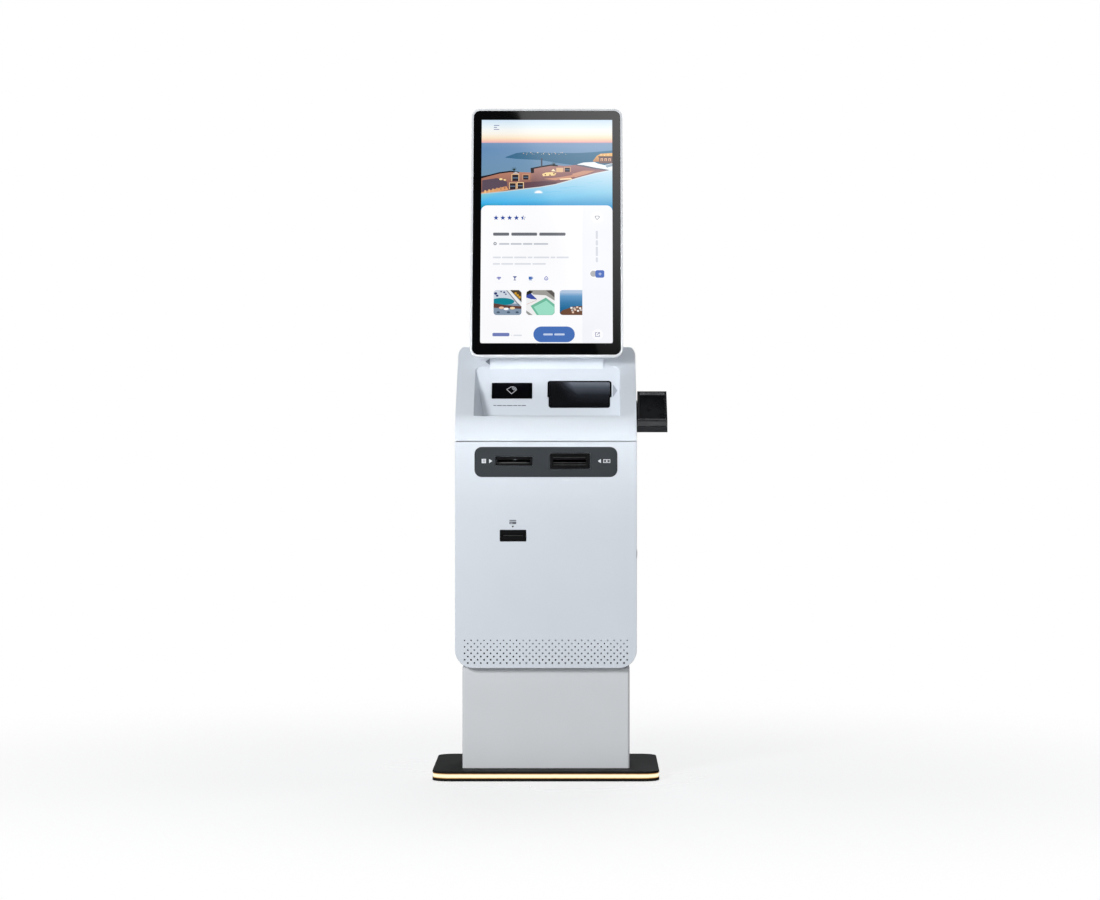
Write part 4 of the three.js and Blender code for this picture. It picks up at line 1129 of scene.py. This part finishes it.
def make_card_marks():
    """A small card pictogram and an arrow above the card outlet."""
    marks = Relief(thick=0.1)
    level = DOOR_FACE - 0.07
    x = -82.5
    marks.prism(rounded(x - 8.5, 636.6, x + 8.5, 647, 1.3), level, PRINT_GREY)
    marks.prism(rounded(x - 8.5, 642.6, x + 8.5, 644.6, 0), level - 0.04, (214, 219, 226))
    marks.prism(rounded(x - 6.5, 638.4, x - 1, 640, 0.3), level - 0.04, (214, 219, 226))
    marks.prism([(x - 3.3, 632.6), (x, 628), (x + 3.3, 632.6)], level, PRINT_BLACK)
    marks.build("card_marks", INK, "front_door", UPRIGHT)


def make_reader_marks():
    """The contactless mark on the reader's window, and a row of plain dashes below it."""
    marks = Relief(thick=0.1)
    level = -0.88  # just in front of the window
    tone = (196, 198, 202)
    card = [(-89.5, 85.0), (-101.0, 77.2), (-88.6, 64.2), (-75.8, 76.4)]
    marks.prisms(stroke(card, 1.7), level, tone)
    for radius in (5.2, 8.4, 11.6):
        marks.prisms(ring(-86.6, 74.2, radius, radius - 1.5, 8, 98, 8), level, tone)
    marks.build("reader_marks", INK, "kiosk", PANEL_FRAME)

    caption = Relief(thick=0.1)
    left = -134.0
    for length in (9, 14, 11, 16, 12, 9, 13):
        caption.prism(rounded(left, 29.4, left + length - 1.8, 31.6, 0.6, steps=3), -0.07, PRINT_GREY)
        left += length
    caption.build("reader_caption", INK, "kiosk", PANEL_FRAME)


make_fascia_marks()
make_card_marks()
make_reader_marks()

# ---------------------------------------------------------------- small parts at the mouths


def bars(name, items, material, round_off):
    """Rods on the front door in one piece, each an outline in x and z, a front y and a thickness."""
    relief = Relief()
    for outline, front, thick in items:
        relief.prism(outline, front, BLANK, thick)
    mesh = new_mesh(name, relief.points, relief.faces)
    obj = new_object(name, mesh, material, "front_door", UPRIGHT)
    bevel_edges(obj, round_off)
    smooth(obj)


def make_mouth_parts():
    """The receipt mouth's toothed tear bar and flap, a pale lens that paints a highlight in the tear bar's
    middle, the note mouth's lips, whose grey is partly a painted highlight, and the card shutter.
    """
    dark = MATERIALS["black_plastic"]
    # A mid-grey plastic, far paler than the black bezels, so that the flap, lips and shutter show as pale
    # lines in the mouths; on the note mouth's lips this grey is partly a painted highlight.
    lip_plastic_and_highlight = moulded_plastic("lip_plastic_and_highlight", (62, 62, 60), 0.34, 1700.0, 0.3)
    top, root, tip = 800.6, 798.8, 797.5  # heights of the tear bar's back and of its teeth
    left, right, count = -120.0, -39.0, 40
    pitch = (right - left) / count
    teeth = [(left - 0.5, top), (left - 0.5, root)]
    for i in range(count):
        teeth += [(left + pitch * (i + 0.5), tip), (left + pitch * (i + 1) - 0.2, root)]
    teeth += [(right + 0.5, top)]
    flap = [(-111, 791), (-48, 791), (-40, 788), (-119, 788)]
    # A pale lens in the middle of the tear bar: a painted highlight on the middle of the mouth's upper lip.
    light = rounded(-79.4, 796.5, -74.4, 798.3, 0.8)
    lips = [
        (rounded(18.4, 802.0, 99.0, 803.5, 0.6), -177.6, 9.0),
        (rounded(18.4, 789.1, 99.0, 790.6, 0.6), -177.2, 8.0),
        (rounded(18.4, 783.6, 101.0, 785.1, 0.6), -177.2, 8.0),
    ]
    shutter = rounded(-106.6, 607.1, -57.4, 608.7, 0.4)
    for name, items, material, slot, round_off in (
        ("receipt_tear_bar", [(teeth, -177.9, 0.8)], dark, "black_plastic", 0.05),
        ("receipt_flap", [(flap, -176.4, 1.2)], lip_plastic_and_highlight, "black_plastic", 0.3),
        ("receipt_highlight_lens", [(light, -178.3, 0.8)], MATERIALS["lens"], "lens", 0.3),
        ("note_lips", lips, lip_plastic_and_highlight, "black_plastic", 0.4),
        ("card_shutter", [(shutter, -175.2, 1.0)], lip_plastic_and_highlight, "black_plastic", 0.2),
    ):
        bars(name, items, material, round_off)


make_mouth_parts()

# ---------------------------------------------------------------- screws and key ways


def hexagon(radius, count=24):
    """Points at equal angles around a hexagon whose corners lie at the radius."""
    side = math.pi / 3
    points = []
    for i in range(count):
        angle = 2 * math.pi * i / count
        reach = radius * math.cos(side / 2) / math.cos(angle % side - side / 2)
        points.append((reach * math.cos(angle), reach * math.sin(angle)))
    return points


def stacked(rings, matrix, points, faces):
    """Adds a closed form made of rings (outline, height) to a mesh's points and faces."""
    first, count = len(points), len(rings[0][0])
    for outline, height in rings:
        points += [tuple(matrix @ Vector((x * MM, y * MM, height * MM))) for x, y in outline]
    faces.append([first + i for i in range(count - 1, -1, -1)])
    for level in range(len(rings) - 1):
        low = first + level * count
        for i in range(count):
            j = (i + 1) % count
            faces.append([low + i, low + j, low + count + j, low + count + i])
    top = first + (len(rings) - 1) * count
    faces.append([top + i for i in range(count)])


def screws(name, places, turn, radius, body):
    """Button-head screws with hexagon sockets; each place is (x, y, z) in millimetres."""
    points, faces = [], []
    sink = 0.4
    tall = radius * 0.62
    dome = ((0.98, -sink), (1.0, tall * 0.2), (0.93, tall * 0.6), (0.72, tall * 0.93), (0.56, tall))
    profile = [(disc(0, 0, radius * share), height) for share, height in dome]
    profile += [(hexagon(radius * 0.5), tall), (hexagon(radius * 0.48), tall * 0.35)]
    for place in places:
        matrix = Matrix.Translation(Vector(place) * MM) @ turn
        stacked(profile, matrix, points, faces)
    smooth(new_object(name, new_mesh(name, points, faces), MATERIALS["steel"], body))


TO_REAR = Matrix.Rotation(math.radians(-90), 4, "X")
TO_RIGHT = Matrix.Rotation(math.radians(90), 4, "Y")


def make_screws():
    """Screws of the rear covers, of the fan, of the screen's back and of the pedestal's panel."""
    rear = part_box("console_rear_cover")[1].y / MM
    places = [(x, rear, z) for x in (-139, 0, 139) for z in (881, 1039)]
    screws("console_cover_screws", places, TO_REAR, 3.0, "kiosk")
    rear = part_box("pedestal_rear_panel")[1].y / MM
    places = [(x, rear, z) for x in (-200, 200) for z in (40, 150, 262)]
    screws("pedestal_panel_screws", places, TO_REAR, 3.0, "kiosk")
    low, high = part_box("fan_frame")
    middle = (low + high) / 2 / MM
    reach = 41  # from the fan's axis to its screws, across and up
    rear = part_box("rear_door")[1].y / MM
    places = [(middle.x + reach * i, rear, middle.z + reach * j) for i in (-1, 1) for j in (-1, 1)]
    screws("fan_screws", places, TO_REAR, 2.4, "rear_door")
    turned = SCREEN_FRAME.to_3x3().to_4x4() @ TO_REAR
    places = [SCREEN_FRAME @ (Vector((x, 45, z)) * MM) / MM for x in (-150, 150) for z in (50, 332, 612)]
    screws("screen_cover_screws", places, turned, 2.8, "monitor")


def make_key_ways():
    """The sprung disc and key slot in the face of each cam lock."""
    height = 0.56  # of both locks above the floor
    low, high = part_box("front_lock")
    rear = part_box("rear_lock")[1].y
    right_face = Matrix.Translation((high.x, low.y + 0.030, height)) @ TO_RIGHT
    rear_face = Matrix.Translation((0.132, rear, height)) @ TO_REAR
    shutter = [(disc(0, 0, 7.4), -0.2), (disc(0, 0, 7.4), 0.35), (disc(0, 0, 6.9), 0.6)]
    slot = rounded(-0.8, -4.2, 0.8, 4.2, 0.7, steps=5)
    for body, matrix in (("front_lock", right_face), ("rear_lock", rear_face)):
        for name, rings, finish in (
            (body + "_key_way", shutter, "steel"),
            (body + "_key_way_slot", [(slot, 0.3), (slot, 0.68)], "black_plastic"),
        ):
            points, faces = [], []
            stacked(rings, matrix, points, faces)
            obj = new_object(name, new_mesh(name, points, faces), MATERIALS[finish], body)
            if finish == "steel":
                smooth(obj)


make_screws()
make_key_ways()

# ---------------------------------------------------------------- floor, light and background


def make_floor():
    """A pale floor whose faint shadow fades into the background a few metres out."""
    reach = 7.0
    steps = 64
    points = [(x, y, 0) for x, y in disc(0, 0, reach, steps)]
    mesh = new_mesh("floor", points, [list(range(steps))])
    floor = bpy.data.objects.new("floor", mesh)
    floor.location.z = -0.0005
    SCENE.collection.objects.link(floor)
    graph = Graph("floor", Specular_IOR_Level=0.2)
    tone = graph.ramp(graph.noise(2.0, 3.0), (0.3, (246, 246, 247)), (0.7, (250, 250, 251)))
    graph.colour(tone)
    graph.roughness(graph.noise(30.0, 3.0), 0.55, 0.7)
    distance = graph.add("ShaderNodeVectorMath", operation="LENGTH")
    graph.link(graph.object, distance.inputs[0])
    fade = graph.add("ShaderNodeMapRange", interpolation_type="SMOOTHSTEP")
    near, far, shade = 0.35, 2.4, 0.26
    for socket, number in (("From Min", near), ("From Max", far), ("To Min", shade), ("To Max", 0.0)):
        fade.inputs[socket].default_value = number
    graph.link(distance.outputs["Value"], fade.inputs["Value"])
    graph.to_shader(Alpha=fade.outputs["Result"])
    mesh.materials.append(graph.material)


def make_world():
    """White behind everything, and a dim cool grey for the light and reflections on the kiosk."""
    world = bpy.data.worlds.new("world")
    SCENE.world = world
    world.use_nodes = True
    nodes, links = world.node_tree.nodes, world.node_tree.links
    nodes.clear()
    output = nodes.new("ShaderNodeOutputWorld")
    path = nodes.new("ShaderNodeLightPath")

    def glow(colour, strength):
        node = nodes.new("ShaderNodeBackground")
        node.inputs["Color"].default_value = colour
        node.inputs["Strength"].default_value = strength
        return node

    def choose(ray, first, second):
        node = nodes.new("ShaderNodeMixShader")
        links.new(path.outputs[ray], node.inputs["Fac"])
        links.new(first.outputs[0], node.inputs[1])
        links.new(second.outputs[0], node.inputs[2])
        return node

    cool = (0.93, 0.96, 1.0, 1)
    around = choose("Is Glossy Ray", glow(cool, 0.13), glow(cool, 0.1))
    seen = choose("Is Camera Ray", around, glow((1.0, 1.0, 1.0, 1), 1.0))
    links.new(seen.outputs[0], output.inputs["Surface"])


def area_light(name, place, target, width, height, power, colour=(0.95, 0.975, 1.0)):
    """A rectangular lamp at a place, turned to a target, and hidden from the camera."""
    data = bpy.data.lights.new(name, "AREA")
    data.shape = "RECTANGLE"
    data.size = width
    data.size_y = height
    data.energy = power
    data.color = colour
    light = bpy.data.objects.new(name, data)
    light.location = place
    light.rotation_euler = (Vector(target) - Vector(place)).to_track_quat("-Z", "Y").to_euler()
    light.visible_camera = False
    SCENE.collection.objects.link(light)
    return light


def make_lights():
    """A key from the upper left, a front fill, a low light for the console, and rear and side fills."""
    middle = (0, 0, 0.8)
    area_light("key", (-2.0, -3.6, 1.8), (0, -0.1, 0.85), 0.7, 0.7, 92)
    area_light("front_fill", (-0.3, -5.2, 1.3), (0, 0, 0.9), 2.4, 1.4, 50)
    low = area_light("console_light", (0.05, -1.7, 0.15), (0, 0, 1.08), 0.7, 0.2, 0.25)
    low.data.spread = 0.32
    top = area_light("top", (0.2, 0.4, 4.2), middle, 1.8, 1.4, 5)
    top.visible_glossy = False
    area_light("left_rim", (-3.4, 1.2, 1.8), middle, 1.2, 2.2, 18)
    area_light("right_rim", (3.4, 1.0, 1.8), middle, 1.2, 2.2, 18)
    area_light("rear_fill", (0.6, 4.0, 3.9), middle, 2.4, 1.8, 105)
    # Seen only as the slanting sheen in the upper right of the screen's glass.
    sheen = area_light("screen_sheen", (0.95, -3.0, 3.4), (0.83, 0.0, 1.2), 1.82, 2.6, 0.34, (1, 1, 1))
    sheen.data.spread = 0.2
    sheen.rotation_euler.rotate_axis("Z", math.radians(17))


make_floor()
make_world()
make_lights()
